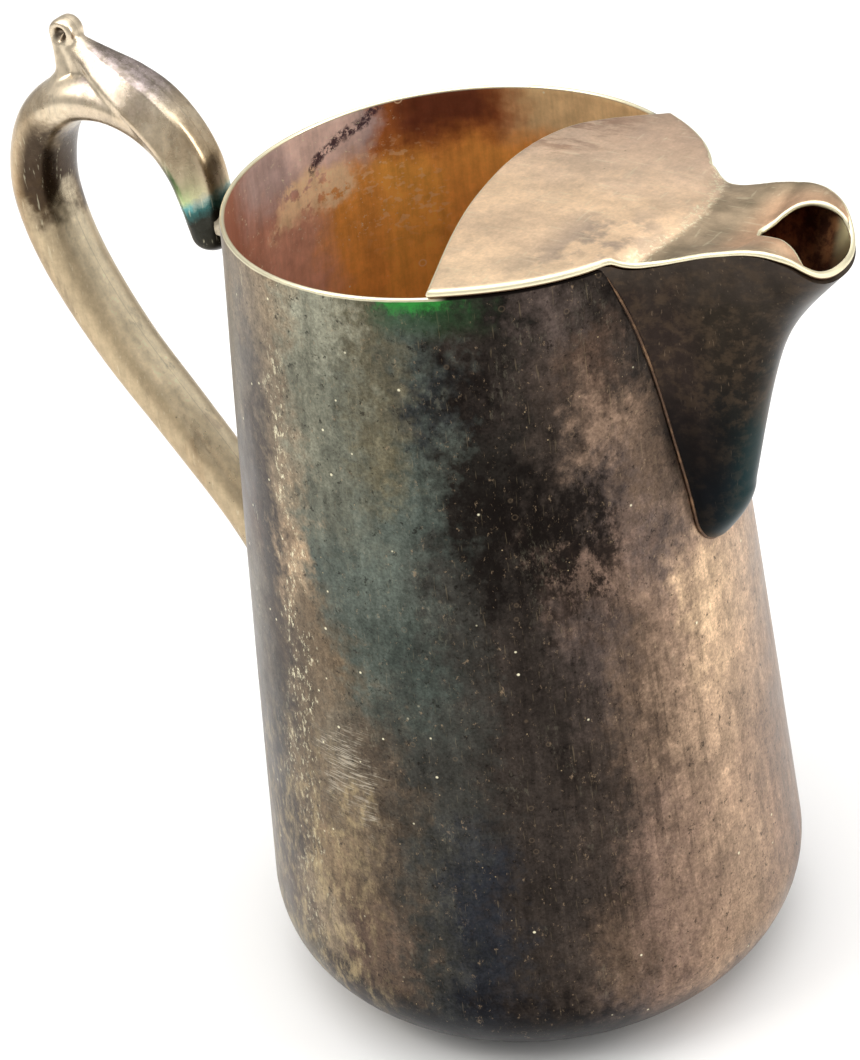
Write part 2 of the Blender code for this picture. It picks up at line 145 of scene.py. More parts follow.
# The leaf that lies on the arm, from the scroll down to the shoulder: (x, z, thickness, width).
LEAF_PATH = [
    (-57.2, 126.0, 1.8, 2.8),
    (-55.4, 124.5, 3.0, 3.8),
    (-52.4, 122.5, 4.2, 6.2),
    (-49.0, 120.5, 5.2, 8.4),
    (-45.4, 117.9, 6.0, 9.4),
    (-42.2, 114.4, 6.0, 9.4),
    (-40.2, 110.4, 5.6, 8.8),
    (-39.4, 106.2, 5.2, 8.0),
    (-39.2, 102.4, 4.6, 7.0),
]
# The strap that rises off the loop to the scroll, and the web that fills the corner behind it.
STRAP_PATH = [
    (-61.5, 115.4, 6.0, 9.0),
    (-59.4, 118.6, 5.6, 7.6),
    (-58.3, 121.4, 3.8, 5.4),
    (-58.7, 124.0, 2.4, 4.0),
    (-59.3, 126.4, 1.6, 3.2),
]
WEB_PATH = [
    (-52.5, 118.8, 7.0, 5.6),
    (-54.6, 121.2, 6.2, 4.8),
    (-56.3, 123.4, 4.6, 4.0),
    (-57.6, 125.3, 2.6, 3.2),
]
SCROLL_EYE = (-58.0, 126.8)
SCROLL_EYE_RADIUS = 2.0
SCROLL_EYE_HALF_WIDTH = 1.6
BOSS_HEIGHT = 102.9
BOSS_RADIUS = 2.1
BOSS_FILLET = 0.45
LOOP_FULLNESS = 2.25
# Half of the gap between the handle's halves, then the grain and the smoothing of the mesh that runs
# its parts together, and how far the handle reaches into the wall.
SEAM = 0.002
HANDLE_VOXEL = 0.24
HANDLE_SOFTENING = 5
HANDLE_INTO_WALL = 0.45

# Spacing of the cover's mesh: along its outline, along the pouring hole and over its face.
OUTLINE_SPACING = 0.4
HOLE_SPACING = 0.35
FACE_SPACING = 0.55
FACE_MARGIN = 0.3
FACE_ALONG = (3.5, 52.5)
FACE_ACROSS = (-27.5, 27.6)

BODY_COLUMNS = 360
RANDOM_SHIFT = Vector((17.3, 4.1, 9.7))
LIGHT_TARGET = Vector((0, 0, 0.06))
# The camera before it is turned about the jug's axis: its angles in radians, then millimetres.
CAMERA_YAW, CAMERA_PITCH, CAMERA_ROLL = -0.0300, 0.5675, -0.1400
CAMERA_TURN = math.radians(35)
CAMERA_AWAY, CAMERA_HEIGHT = 299.75, 256.40
LENS = 92.46


# ---------------------------------------------------------------- shapes

def through(points, steps):
    """Points along a smooth Catmull-Rom curve through the given ones, with steps spans between two."""
    keys = np.array(points, float)
    keys = np.vstack([2 * keys[0] - keys[1], keys, 2 * keys[-1] - keys[-2]])
    found = []
    for a, b, c, d in zip(keys, keys[1:], keys[2:], keys[3:]):
        for t in np.arange(steps) / steps:
            bend = (2 * a - 5 * b + 4 * c - d) * t**2
            twist = (3 * b - a - 3 * c + d) * t**3
            found.append(0.5 * (2 * b + (c - a) * t + bend + twist))
    found.append(keys[-2])
    return np.array(found)


def smooth_step(low, high, x):
    t = np.clip((np.asarray(x, float) - low) / (high - low), 0.0, 1.0)
    return t * t * (3 - 2 * t)


def wall_radius(z):
    """Outer radius of the tapered wall at height z."""
    up = (z - HEEL_HEIGHT) / (BODY_HEIGHT - HEEL_HEIGHT)
    return BELLY_RADIUS + (RIM_RADIUS - BELLY_RADIUS) * up + BELLY_BULGE * 4 * up * (1 - up)


def mouth_flare(z, angle):
    """How far the wall is drawn out towards the spout at this height and angle from +X."""
    height_share = smooth_step(BODY_HEIGHT - MOUTH_FLARE_DEPTH, BODY_HEIGHT, z)
    return MOUTH_FLARE * height_share * smooth_step(-MOUTH_FLARE_NONE, -MOUTH_FLARE_FULL, -np.abs(angle))


def spout_half_width(z):
    """Half of the spout's width where it meets the wall: a rounded foot, then a widening V."""
    if z < SPOUT_WAIST:
        drop = (SPOUT_WAIST - z) / (SPOUT_WAIST - SPOUT_FOOT + 0.05)
        return SPOUT_WAIST_HALF_WIDTH * math.sqrt(max(0.0, 1 - drop**2))
    up = (z - SPOUT_WAIST) / (BODY_HEIGHT - SPOUT_WAIST)
    return SPOUT_WAIST_HALF_WIDTH + (SPOUT_MOUTH_HALF_WIDTH - SPOUT_WAIST_HALF_WIDTH) * up**SPOUT_WIDENING


def spout_reach(z):
    """How far the spout's keel stands out of the wall at height z."""
    toe = min(1.0, max(0.0, (z - SPOUT_FOOT) / TOE_HEIGHT))
    if z < KEEL_SHOULDER:
        reach = KEEL_SHOULDER_REACH * (1 - ((KEEL_SHOULDER - z) / KEEL_TUCK) ** 1.5)
        return reach * math.sqrt(toe * (2 - toe))
    up = (z - KEEL_SHOULDER) / (BODY_HEIGHT - KEEL_SHOULDER)
    swept = KEEL_TOP_REACH - KEEL_SHOULDER_REACH - KEEL_STRAIGHT_REACH
    return KEEL_SHOULDER_REACH + KEEL_STRAIGHT_REACH * up + swept * up**KEEL_SWEEP


def spout_section(z, turn):
    """(x, y) on the spout's outer skin at height z: turn goes from 0 at the wall to 1 at the keel."""
    up = float(smooth_step(KEEL_SHOULDER, BODY_HEIGHT, z))
    half_width = spout_half_width(z)
    flare = min(FOOT_FLARE + TOP_FLARE * up, 0.25 * half_width)
    wall = wall_radius(z)
    skin = wall + float(mouth_flare(z, math.asin(half_width / wall))) - SHEET
    root = math.sqrt(skin**2 - half_width**2)
    depth = wall + spout_reach(z) - root
    along_power = 2.1 + 1.1 * up + LIP_BLUNTNESS * up**LIP_BLUNTS_LATE
    along = 1 - (1 - turn**SECTION_EASE) ** 2
    side = math.sqrt(1 - along**along_power) * (1 - LIP_TAPER * up * along)
    y = (half_width - flare) * side + flare * math.exp(-((along / FLARE_SHARE) ** 2)) * (1 - along)
    return root + depth * along, y


ROOF_EDGE_CURVE = through(ROOF_EDGE, 12)
ROOF_MIDDLE_CURVE = through(ROOF_MIDDLE, 12)
LIP_OUTLINE = np.array([spout_section(BODY_HEIGHT, turn) for turn in np.linspace(0, 1, 161)])


def height_along(curve, x):
    """Height above the rim plane of a curve of (x, height) points, at this x."""
    return float(np.interp(x, curve[:, 0], curve[:, 1]))


def lip_half_width(x):
    return float(np.interp(x, LIP_OUTLINE[:, 0], LIP_OUTLINE[:, 1]))


def roof_top(x, y):
    """Height of the cover's top skin: flat over the mouth, then bending from edge to middle."""
    if x < ROOF_EDGE[0][0]:
        return BODY_HEIGHT + COVER_TOP
    edge = height_along(ROOF_EDGE_CURVE, x)
    across = min(1.0, abs(y) / max(lip_half_width(x), 1.0))
    return BODY_HEIGHT + edge + (height_along(ROOF_MIDDLE_CURVE, x) - edge) * (1 - across**2)


# ---------------------------------------------------------------- mesh helpers

def placed(name, data):
    """A new object in the scene that shows this mesh, light or camera."""
    made = bpy.data.objects.new(name, data)
    bpy.context.scene.collection.objects.link(made)
    return made


def mesh_object(name, points, faces):
    """A mesh object from points in millimetres."""
    mesh = bpy.data.meshes.new(name)
    mesh.from_pydata([tuple(MM * float(value) for value in point) for point in points], [], faces)
    mesh.update()
    return placed(name, mesh)


def with_bmesh(obj, work_on):
    """Runs work_on(bm) on the object's mesh."""
    work = bmesh.new()
    work.from_mesh(obj.data)
    work_on(work)
    work.to_mesh(obj.data)
    work.free()
    obj.data.update()
    return obj


def merged(obj, distance):
    """The object with vertices closer than this many metres made one."""
    return with_bmesh(obj, lambda work: bmesh.ops.remove_doubles(work, verts=work.verts, dist=distance))


def outward(obj):
    return with_bmesh(obj, lambda work: bmesh.ops.recalc_face_normals(work, faces=work.faces))


def smooth(obj, sharp_degrees=40):
    obj.data.shade_smooth()
    obj.data.set_sharp_from_angle(angle=math.radians(sharp_degrees))
    return obj


def applied(obj):
    """The object with its modifiers made real."""
    graph = bpy.context.evaluated_depsgraph_get()
    mesh = bpy.data.meshes.new_from_object(obj.evaluated_get(graph))
    name = obj.name
    old = obj.data
    bpy.data.objects.remove(obj)
    bpy.data.meshes.remove(old)
    mesh.name = name
    return placed(name, mesh)


def loft(rings, closed_rings=True, caps=True):
    """Points and faces of a skin over rings of equally many points."""
    count = len(rings[0])
    points = [point for ring in rings for point in ring]
    faces = []
    for row in range(len(rings) - 1):
        for i in range(count if closed_rings else count - 1):
            a, b = row * count + i, row * count + (i + 1) % count
            faces.append((a, b, b + count, a + count))
    if caps:
        last = (len(rings) - 1) * count
        faces += [list(range(count))[::-1], list(range(last, last + count))]
    return points, faces


def turned(name, profile, columns, axis="Z", centre=(0, 0, 0)):
    """A closed profile of (radius, height) turned about an axis. Rings with radius 0 become caps."""
    rings = []
    for radius, height in profile:
        ring = []
        for angle in np.linspace(0, 2 * math.pi, columns, endpoint=False):
            c, s = radius * math.cos(angle), radius * math.sin(angle)
            place = {"Z": (c, s, height), "X": (height, c, s), "Y": (c, height, s)}[axis]
            ring.append([p + q for p, q in zip(place, centre)])
        rings.append(ring)
    points, faces = loft(rings)
    return outward(mesh_object(name, points, faces))


def difference(obj, cutter):
    step = obj.modifiers.new("cut", "BOOLEAN")
    step.operation = "DIFFERENCE"
    step.object = cutter
    made = applied(obj)
    bpy.data.objects.remove(cutter)
    return made


def stamp_attribute(obj, name, value_of):
    """Stores value_of(point in mm) on every vertex."""
    attribute = obj.data.attributes.new(name, "FLOAT", "POINT")
    values = [value_of(vertex.co / MM) for vertex in obj.data.vertices]
    attribute.data.foreach_set("value", np.array(values, np.float32))
    return obj


# ---------------------------------------------------------------- pieces

# Soft dings in the wall: (angle in degrees, height, radius, depth).
DINGS = [
    (-98, 31, 7.0, 0.16), (-62, 55, 9.0, 0.10), (-28, 60, 8.0, 0.12), (-5, 24, 6.0, 0.14),
    (-118, 70, 8.0, 0.12), (-44, 92, 6.0, 0.10), (75, 52, 9.0, 0.15), (130, 28, 7.0, 0.14),
    (150, 84, 8.0, 0.12), (-158, 45, 7.0, 0.12), (40, 30, 6.0, 0.10),
]
# Depth of the wall's slow and quick waves, and how far the waved wall lies inside the true cone.
SLOW_WAVE = 0.09
QUICK_WAVE = 0.03
SUNK = 0.11


def hand_made(angle, z):
    """Small departure of the raised wall from a true cone: a slow waviness and a few soft dings."""
    around = Vector((math.cos(angle), math.sin(angle), 0)) * 1.5
    slow = noise.noise(around + Vector((0, 0, z / 42)) + RANDOM_SHIFT)
    quick = noise.noise(around * 3.1 + Vector((0, 0, z / 15)) + RANDOM_SHIFT * 2)
    shape = SLOW_WAVE * slow + QUICK_WAVE * quick - SUNK
    for ding_angle, ding_z, size, depth in DINGS:
        turn = (angle - math.radians(ding_angle) + math.pi) % (2 * math.pi) - math.pi
        away = (turn * BELLY_RADIUS) ** 2 + (z - ding_z) ** 2
        shape -= depth * math.exp(-away / size**2)
    return shape


def body_profile():
    """Outer skin from the rim down to the edge of the bottom, as (radius, z)."""
    wall = [(wall_radius(z), z) for z in np.linspace(BODY_HEIGHT, HEEL_HEIGHT, 101)]
    heel = []
    for angle in np.linspace(0, math.pi / 2, 25)[1:]:
        inward = HEEL_WIDTH * (1 - math.cos(angle) ** (2 / HEEL_ROUNDNESS))
        down = HEEL_HEIGHT * math.sin(angle) ** (2 / HEEL_ROUNDNESS)
        heel.append((BELLY_RADIUS - inward, HEEL_HEIGHT - down))
    return np.array(wall + heel)


def make_body():
    outer = body_profile()
    slope = np.gradient(outer, axis=0)
    slope /= np.linalg.norm(slope, axis=1)[:, None]
    inward = np.stack([slope[:, 1], -slope[:, 0]], axis=1)
    thick = np.interp(outer[:, 1], [BODY_HEIGHT - 12, BODY_HEIGHT], [SHEET, RIM_SHEET])
    inner = outer + inward * thick[:, None]
    inner[:, 1] = np.minimum(inner[:, 1], BODY_HEIGHT - 0.02)
    round_up = RIM_SHEET / 2
    start = outer[0] - (0, round_up)
    rim = []
    for angle in np.radians([0, 22, 45, 68, 90, 112, 135, 158, 180]):
        across = round_up * (1 - math.cos(angle))
        rim.append((start[0] - across, start[1] + round_up * math.sin(angle)))
    outer_side = outer[outer[:, 1] < BODY_HEIGHT - round_up - 0.2]
    inner_side = inner[inner[:, 1] < BODY_HEIGHT - round_up - 0.2]
    profile = np.vstack([rim[::-1], outer_side, inner_side[::-1]])
    rings = []
    for radius, z in profile:
        ring = []
        for angle in np.linspace(-math.pi, math.pi, BODY_COLUMNS, endpoint=False):
            r = radius + float(mouth_flare(z, angle))
            if z > 2.0:
                r += hand_made(angle, z) * float(smooth_step(2, 14, z) * smooth_step(BODY_HEIGHT, 108, z))
            ring.append((r * math.cos(angle), r * math.sin(angle), z))
        rings.append(ring)
    points, faces = loft(rings + [rings[0]], caps=False)
    body = outward(mesh_object("body_wall", points, faces))
    return smooth(difference(merged(body, 1e-6), cut_out()), 50)


def cut_out():
    """The opening in the wall behind the spout, up through the rim."""
    side = [(spout_half_width(z) - CUT_OUT_MARGIN, z) for z in np.linspace(CUT_OUT_FOOT, BODY_HEIGHT, 24)]
    side.append((side[-1][0], BODY_HEIGHT + 6))
    outline = side + [(-y, z) for y, z in reversed(side)]
    points, faces = loft([[(x, y, z) for y, z in outline] for x in (18, 44)])
    return outward(mesh_object("cut_out", points, faces))


def make_base():
    """The set-in flat bottom, with faint spun rings on its underside and inside."""
    radius = BELLY_RADIUS - HEEL_WIDTH - 0.06
    top = SHEET + 0.05
    under, over = [(0.0, 0.12)], [(0.0, top)]
    for r in np.linspace(0.8, radius - 0.5, 60):
        ripple = 0.02 * math.sin(r * 2.3) + 0.012 * math.sin(r * 5.1)
        under.append((r, 0.1 + ripple))
        over.append((r, top + ripple))
    rim = [(radius - 0.12, 0.06), (radius, 0.16), (radius, SHEET - 0.1), (radius - 0.15, SHEET + 0.04)]
    base = turned("base_plate", under + rim + over[::-1], 180)
    return smooth(merged(base, 1e-7))


def make_spout():
    """A loft of level sections, each an open U from the wall round the keel and back."""
    rows, columns = 96, 64
    sides = [1 - abs(column) / columns for column in range(-columns, columns + 1)]
    lip = [spout_section(BODY_HEIGHT, turn) for turn in sides]
    rings = []
    for share in np.linspace(0, 1, rows + 1):
        level = SPOUT_FOOT + (BODY_HEIGHT - SPOUT_FOOT) * share**1.5
        rise_share = float(smooth_step(BODY_HEIGHT - LIP_RISE, BODY_HEIGHT, level))
        ring = []
        for column, (turn, (lip_x, _)) in enumerate(zip(sides, lip)):
            x, y = spout_section(level, turn)
            edge = height_along(ROOF_EDGE_CURVE, lip_x) - cover_sheet_at(lip_x) * 0.9
            ring.append((x, math.copysign(y, column - columns), level + rise_share * edge))
        rings.append(ring)
    points, faces = loft(rings, closed_rings=False, caps=False)
    spout = mesh_object("spout_shell", points, faces)
    # A face half-way up the keel shows whether the sheet would grow outwards.
    if spout.data.polygons[rows // 2 * 2 * columns + columns].normal.x < 0:
        with_bmesh(spout, lambda work: bmesh.ops.reverse_faces(work, faces=work.faces))
    step = spout.modifiers.new("sheet", "SOLIDIFY")
    step.thickness = SPOUT_SHEET * MM
    step.offset = -1
    return smooth(applied(spout), 50)


def cover_outline():
    """The half cover seen from above, anticlockwise: its inner edge, the rim and the spout's roof."""
    rim = RIM_RADIUS + COVER_OVERHANG
    reach = [rim + float(mouth_flare(BODY_HEIGHT, math.atan2(y, x))) for x, y in LIP_OUTLINE]
    lip = [tuple(point) for point, limit in zip(LIP_OUTLINE, reach) if math.hypot(*point) > limit]
    notch = math.atan2(lip[0][1], lip[0][0])

    def along_rim(start, end):
        angles = np.linspace(start, end, 60)[1:-1]
        edges = rim + mouth_flare(BODY_HEIGHT, angles)
        return [(edge * math.cos(angle), edge * math.sin(angle)) for edge, angle in zip(edges, angles)]

    (near_x, near_y), (far_x, far_y) = COVER_INNER_EDGE[0], COVER_INNER_EDGE[-1]
    inner = [tuple(point) for point in through(COVER_INNER_EDGE, 12)]
    far_side = along_rim(math.atan2(far_y, far_x), notch) + lip
    near_side = [(x, -y) for x, y in reversed(lip[:-1])] + along_rim(-notch, math.atan2(near_y, near_x))
    return (inner + far_side + near_side)[::-1]


def even_loop(points, spacing):
    """A closed loop resampled at an even spacing."""
    loop = np.array(points + points[:1], float)
    lengths = np.concatenate([[0], np.cumsum(np.linalg.norm(np.diff(loop, axis=0), axis=1))])
    count = int(lengths[-1] / spacing)
    at = np.linspace(0, lengths[-1], count, endpoint=False)
    return np.stack([np.interp(at, lengths, loop[:, k]) for k in (0, 1)], axis=1)


def loop_normals(loop):
    """Unit normals of a closed loop, to the left of its direction."""
    along = np.roll(loop, -1, axis=0) - np.roll(loop, 1, axis=0)
    along /= np.linalg.norm(along, axis=1)[:, None]
    return np.stack([-along[:, 1], along[:, 0]], axis=1)


def inside_loop(loop, x, y):
    """Whether points are inside a closed loop."""
    found = np.zeros(len(x), bool)
    for (x0, y0), (x1, y1) in zip(loop, np.roll(loop, -1, axis=0)):
        crosses = (y0 > y) != (y1 > y)
        with np.errstate(divide="ignore", invalid="ignore"):
            at = (x1 - x0) * (y - y0) / (y1 - y0) + x0
        found ^= crosses & (x < at)
    return found


def cover_sheet_at(x):
    """Thickness of the cover's sheet: fuller over the rim and round the lip."""
    over_spout = COVER_SHEET + (ROOF_SHEET - COVER_SHEET) * float(smooth_step(*ROOF_BEGINS, x))
    return over_spout + (LIP_SHEET - ROOF_SHEET) * float(smooth_step(*LIP_BEGINS, x))


def cover_loops():
    """The cover's outline and its pouring hole, each with normals that point into the sheet."""
    outline = even_loop(cover_outline(), OUTLINE_SPACING)
    tear = through(POURING_HOLE, 8)
    hole = even_loop([tuple(p) for p in tear] + [(x, -y) for x, y in tear[-2:0:-1]], HOLE_SPACING)
    loops = []
    for loop, is_hole in ((outline, False), (hole, True)):
        normals = loop_normals(loop)
        if ((loop - loop.mean(axis=0)) * normals).sum() > 0:
            normals = -normals
        loops.append((loop, -normals if is_hole else normals))
    return loops


def in_sheet(starts, x, y):
    """Whether points are inside the outline and outside the hole."""
    return inside_loop(starts[0], x, y) & ~inside_loop(starts[1], x, y)


def face_of_sheet(starts):
    """(points, triangles, edge places) of a fine flat mesh between the outline and the hole.

    Edge places gives the point that each point of the two loops, counted on from the first, became.
    """
    grid = np.meshgrid(np.arange(*FACE_ALONG, FACE_SPACING), np.arange(*FACE_ACROSS, FACE_SPACING))
    grid_x, grid_y = grid[0].ravel(), grid[1].ravel()
    near = np.full(len(grid_x), np.inf)
    for start in starts:
        for x, y in start:
            near = np.minimum(near, np.hypot(grid_x - x, grid_y - y))
    keep = in_sheet(starts, grid_x, grid_y) & (near > FACE_MARGIN)
    free = [Vector(p) for p in np.stack([grid_x[keep], grid_y[keep]], axis=1)]
    loop_points = [Vector(p) for start in starts for p in start]
    edges = []
    for start in starts:
        first, size = len(edges), len(start)
        edges += [(first + i, first + (i + 1) % size) for i in range(size)]
    made = geometry.delaunay_2d_cdt(loop_points + free, edges, [], 0, 1e-5)
    flat, triangles, origin = made[0], made[2], made[3]
    place = {old: new for new, olds in enumerate(origin) for old in olds}
    corners = np.array([[tuple(flat[i]) for i in tri] for tri in triangles])
    wanted = in_sheet(starts, *corners.mean(axis=1).T)
    return flat, [tuple(tri) for tri, kept in zip(triangles, wanted) if kept], place


def make_cover():
    """One sheet with rounded edges: the half-moon, the spout's roof and the pierced pouring hole."""
    loops = cover_loops()
    starts = []
    for loop, into in loops:
        half = np.array([cover_sheet_at(x) / 2 for x, _ in loop])
        starts.append(loop + into * half[:, None])
    flat, kept, place = face_of_sheet(starts)
    top = [(p.x, p.y, roof_top(p.x, p.y)) for p in flat]
    count = len(top)
    points = top + [(x, y, z - cover_sheet_at(x)) for x, y, z in top]
    faces = kept + [tuple(i + count for i in reversed(tri)) for tri in kept]
    offset = 0
    for (loop, into), start in zip(loops, starts):
        size = len(start)
        rows = [[place[offset + i] for i in range(size)]]
        for angle in np.radians([30, 60, 90, 120, 150]):
            row = []
            for i, (x, y) in enumerate(start):
                half = cover_sheet_at(loop[i][0]) / 2
                px, py = np.array((x, y)) - into[i] * half * math.sin(angle)
                row.append(len(points))
                points.append((px, py, roof_top(x, y) - half + half * math.cos(angle)))
            rows.append(row)
        rows.append([place[offset + i] + count for i in range(size)])
        for upper, lower in zip(rows, rows[1:]):
            for i in range(size):
                j = (i + 1) % size
                faces.append((upper[i], upper[j], lower[j], lower[i]))
        offset += size
    cover = outward(mesh_object("cover_sheet", points, faces))
    edge_points = np.vstack([loop for loop, _ in loops])
    edge_of = lambda p: float(np.hypot(edge_points[:, 0] - p.x, edge_points[:, 1] - p.y).min())
    stamp_attribute(cover, "edge_distance", edge_of)
    return smooth(cover, 50)


def section_points(thickness, width, arm):
    """Half of the handle's section, from its inner side to its outer side: (y, out)."""
    turn = np.linspace(0, math.pi, 55)
    side = np.abs(np.sin(turn)) ** (2 / LOOP_FULLNESS)
    out = -np.sign(np.cos(turn)) * np.abs(np.cos(turn)) ** (2 / LOOP_FULLNESS)
    loop = np.stack([side, out], axis=1)
    leaf = [(0, -1), (0.36, -1.0), (0.66, -0.96), (0.82, -0.8), (0.97, -0.42), (1, -0.28),
            (0.86, 0.1), (0.6, 0.72), (0.46, 0.96), (0, 1.0)]
    shape = loop * (1 - arm) + through(leaf, 6) * arm
    return [(y * width / 2, out * thickness / 2) for y, out in shape]


def handle_sweep(name, path, leaf_like=None, steps=8, dome=True):
    """A closed tube along a path in the XZ plane with the handle's section."""
    rows = [row if len(row) == 5 else (*row, leaf_like) for row in path]
    stations = through(rows, steps)
    if dome:
        stations = np.vstack([stations, dome_end(stations)])
    tangents = np.gradient(stations[:, :2], axis=0)
    rings = []
    for (x, z, thickness, width, arm), (along_x, along_z) in zip(stations, tangents):
        length = math.hypot(along_x, along_z)
        out_x, out_z = -along_z / length, along_x / length
        half = section_points(max(thickness, 0.3), max(width, 0.3), min(max(arm, 0.0), 1.0))
        whole = half + [(-y, out) for y, out in half[-2:0:-1]]
        rings.append([(x + out * out_x, y, z + out * out_z) for y, out in whole])
    points, faces = loft(rings)
    return outward(mesh_object(name, points, faces))


def dome_end(stations):
    """More stations that close a tube with a dome."""
    x, z, thickness, width, arm = stations[-1]
    step = stations[-1, :2] - stations[-2, :2]
    step /= np.linalg.norm(step)
    found = []
    for angle in np.radians([15, 30, 45, 60, 72, 82, 87]):
        along_x, along_z = step * thickness / 2 * math.sin(angle)
        scale = math.cos(angle)
        found.append((x + along_x, z + along_z, thickness * scale, width * scale, arm))
    return found


def make_volute():
    """The rolled tip of the thumb scroll: a small drum with a dimple in each end."""
    r, w = SCROLL_EYE_RADIUS, SCROLL_EYE_HALF_WIDTH
    end = [(0, w - 1.15), (0.35, w - 1.1), (0.75, w - 0.75), (0.95, w - 0.3), (1.1, w - 0.05),
           (1.35, w), (r - 0.25, w - 0.12), (r - 0.05, w - 0.4), (r, w - 0.8)]
    profile = [(radius, -y) for radius, y in end] + [(radius, y) for radius, y in reversed(end)]
    return turned("volute", profile, 48, axis="Y", centre=(SCROLL_EYE[0], 0, SCROLL_EYE[1]))


def joined(name, objects):
    """Several closed meshes as one object."""
    work = bmesh.new()
    for obj in objects:
        work.from_mesh(obj.data)
        bpy.data.objects.remove(obj)
    mesh = bpy.data.meshes.new(name)
    work.to_mesh(mesh)
    work.free()
    return placed(name, mesh)


def make_handle():
    """Loop, arm, leaf and scroll run together, then parted on the mirror plane into its two halves."""
    parts = [
        handle_sweep("loop", HANDLE_PATH),
        handle_sweep("leaf", LEAF_PATH, leaf_like=1.0),
        handle_sweep("strap", STRAP_PATH, leaf_like=0.0),
        handle_sweep("web", WEB_PATH, leaf_like=0.0),
        make_volute(),
    ]
    whole = joined("handle", parts)
    step = whole.modifiers.new("run together", "REMESH")
    step.mode = "VOXEL"
    step.voxel_size = HANDLE_VOXEL * MM
    whole = applied(whole)

    def soften(work):
        for _ in range(HANDLE_SOFTENING):
            bmesh.ops.smooth_vert(work, verts=work.verts, factor=0.5, use_axis_x=True,
                                  use_axis_y=True, use_axis_z=True)

    with_bmesh(whole, soften)
    for vertex in whole.data.vertices:
        x, y, z = vertex.co / MM
        least = wall_radius(z) - HANDLE_INTO_WALL
        radius = math.hypot(x, y)
        if radius < least:
            vertex.co.x, vertex.co.y = x * least / radius * MM, y * least / radius * MM
    halves = []
    for name, side in (("handle_left", 1), ("handle_right", -1)):
        half = whole.copy()
        half.data = whole.data.copy()
        half.name = half.data.name = name
        bpy.context.scene.collection.objects.link(half)

        def part(work, side=side):
            everything = work.verts[:] + work.edges[:] + work.faces[:]
            found = bmesh.ops.bisect_plane(work, geom=everything, plane_co=(0, side * SEAM * MM, 0),
                                           plane_no=(0, -side, 0), clear_outer=True)
            edges = [e for e in found["geom_cut"] if isinstance(e, bmesh.types.BMEdge)]
            bmesh.ops.holes_fill(work, edges=edges)

        with_bmesh(half, part)
        halves.append(smooth(half, 60))
    bpy.data.objects.remove(whole)
    return halves


def make_boss():
    """The stud between the arm and the wall, with a solder fillet at each end."""
    inner = -wall_radius(BOSS_HEIGHT) + 0.5
    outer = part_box("upper_boss")[0].x / MM - 0.6
    length = inner - outer
    profile = [(0.0, 0.0)]
    for share in np.linspace(0, 1, 30):
        near_end = min(share, 1 - share) * length
        profile.append((BOSS_RADIUS + BOSS_FILLET * math.exp(-near_end / BOSS_FILLET), share * length))
    profile.append((0.0, length))
    profile = [(r, outer + along) for r, along in profile]
    boss = turned("boss_stud", profile, 72, axis="X", centre=(0, 0, BOSS_HEIGHT))
    return smooth(merged(boss, 1e-7), 60)


def bead(name, route, radius):
    """A thin round line of solder along a route."""
    route = np.array(route, float)
    tangents = np.gradient(route, axis=0)
    rings = []
    for k, (point, along) in enumerate(zip(route, tangents)):
        along = Vector(along).normalized()
        side = (along.orthogonal() if k == 0 else side - side.dot(along) * along).normalized()
        up = along.cross(side)
        wobble = 1 + 0.25 * noise.noise(Vector(point) * 0.9 + RANDOM_SHIFT)
        size = radius * wobble * min(1.0, 0.15 + min(k, len(route) - 1 - k) * 0.2)
        ring = []
        for angle in np.linspace(0, 2 * math.pi, 12, endpoint=False):
            ring.append(Vector(point) + size * (math.cos(angle) * side + math.sin(angle) * up))
        rings.append(ring)
    points, faces = loft(rings)
    return smooth(outward(mesh_object(name, points, faces)), 80)


def spout_root(level):
    """(x, y) where the spout's outer skin comes out of the wall at this level."""
    turns = np.linspace(0, 1, 600)
    skin = np.array([spout_section(level, turn) for turn in turns])
    wall = wall_radius(level) + np.array([float(mouth_flare(level, math.atan2(y, x))) for x, y in skin])
    proud = np.hypot(skin[:, 0], skin[:, 1]) - wall
    first = int(np.argmax(proud > 0.02))
    return skin[first]


def make_spout_solder():
    """The line of solder round the spout, from one side of the rim under the foot to the other."""
    low, high = SPOUT_FOOT + 0.15, BODY_HEIGHT - 1.2
    levels = low + (high - low) * np.linspace(0, 1, 90) ** 1.5
    left = [(*spout_root(level), level) for level in levels]
    right = [(x, -y, z) for x, y, z in left]
    route = np.array(left[::-1] + right)
    for _ in range(6):
        route[1:-1] = (route[:-2] + 2 * route[1:-1] + route[2:]) / 4
    return bead("spout_solder", route, SOLDER_RADIUS)


# ---------------------------------------------------------------- paint

def tone(red, green, blue):
    """A colour given as it looks on screen, 0 to 255, as linear values."""
    return tuple(((c / 255 + 0.055) / 1.055) ** 2.4 if c > 10 else c / 3295 for c in (red, green, blue))


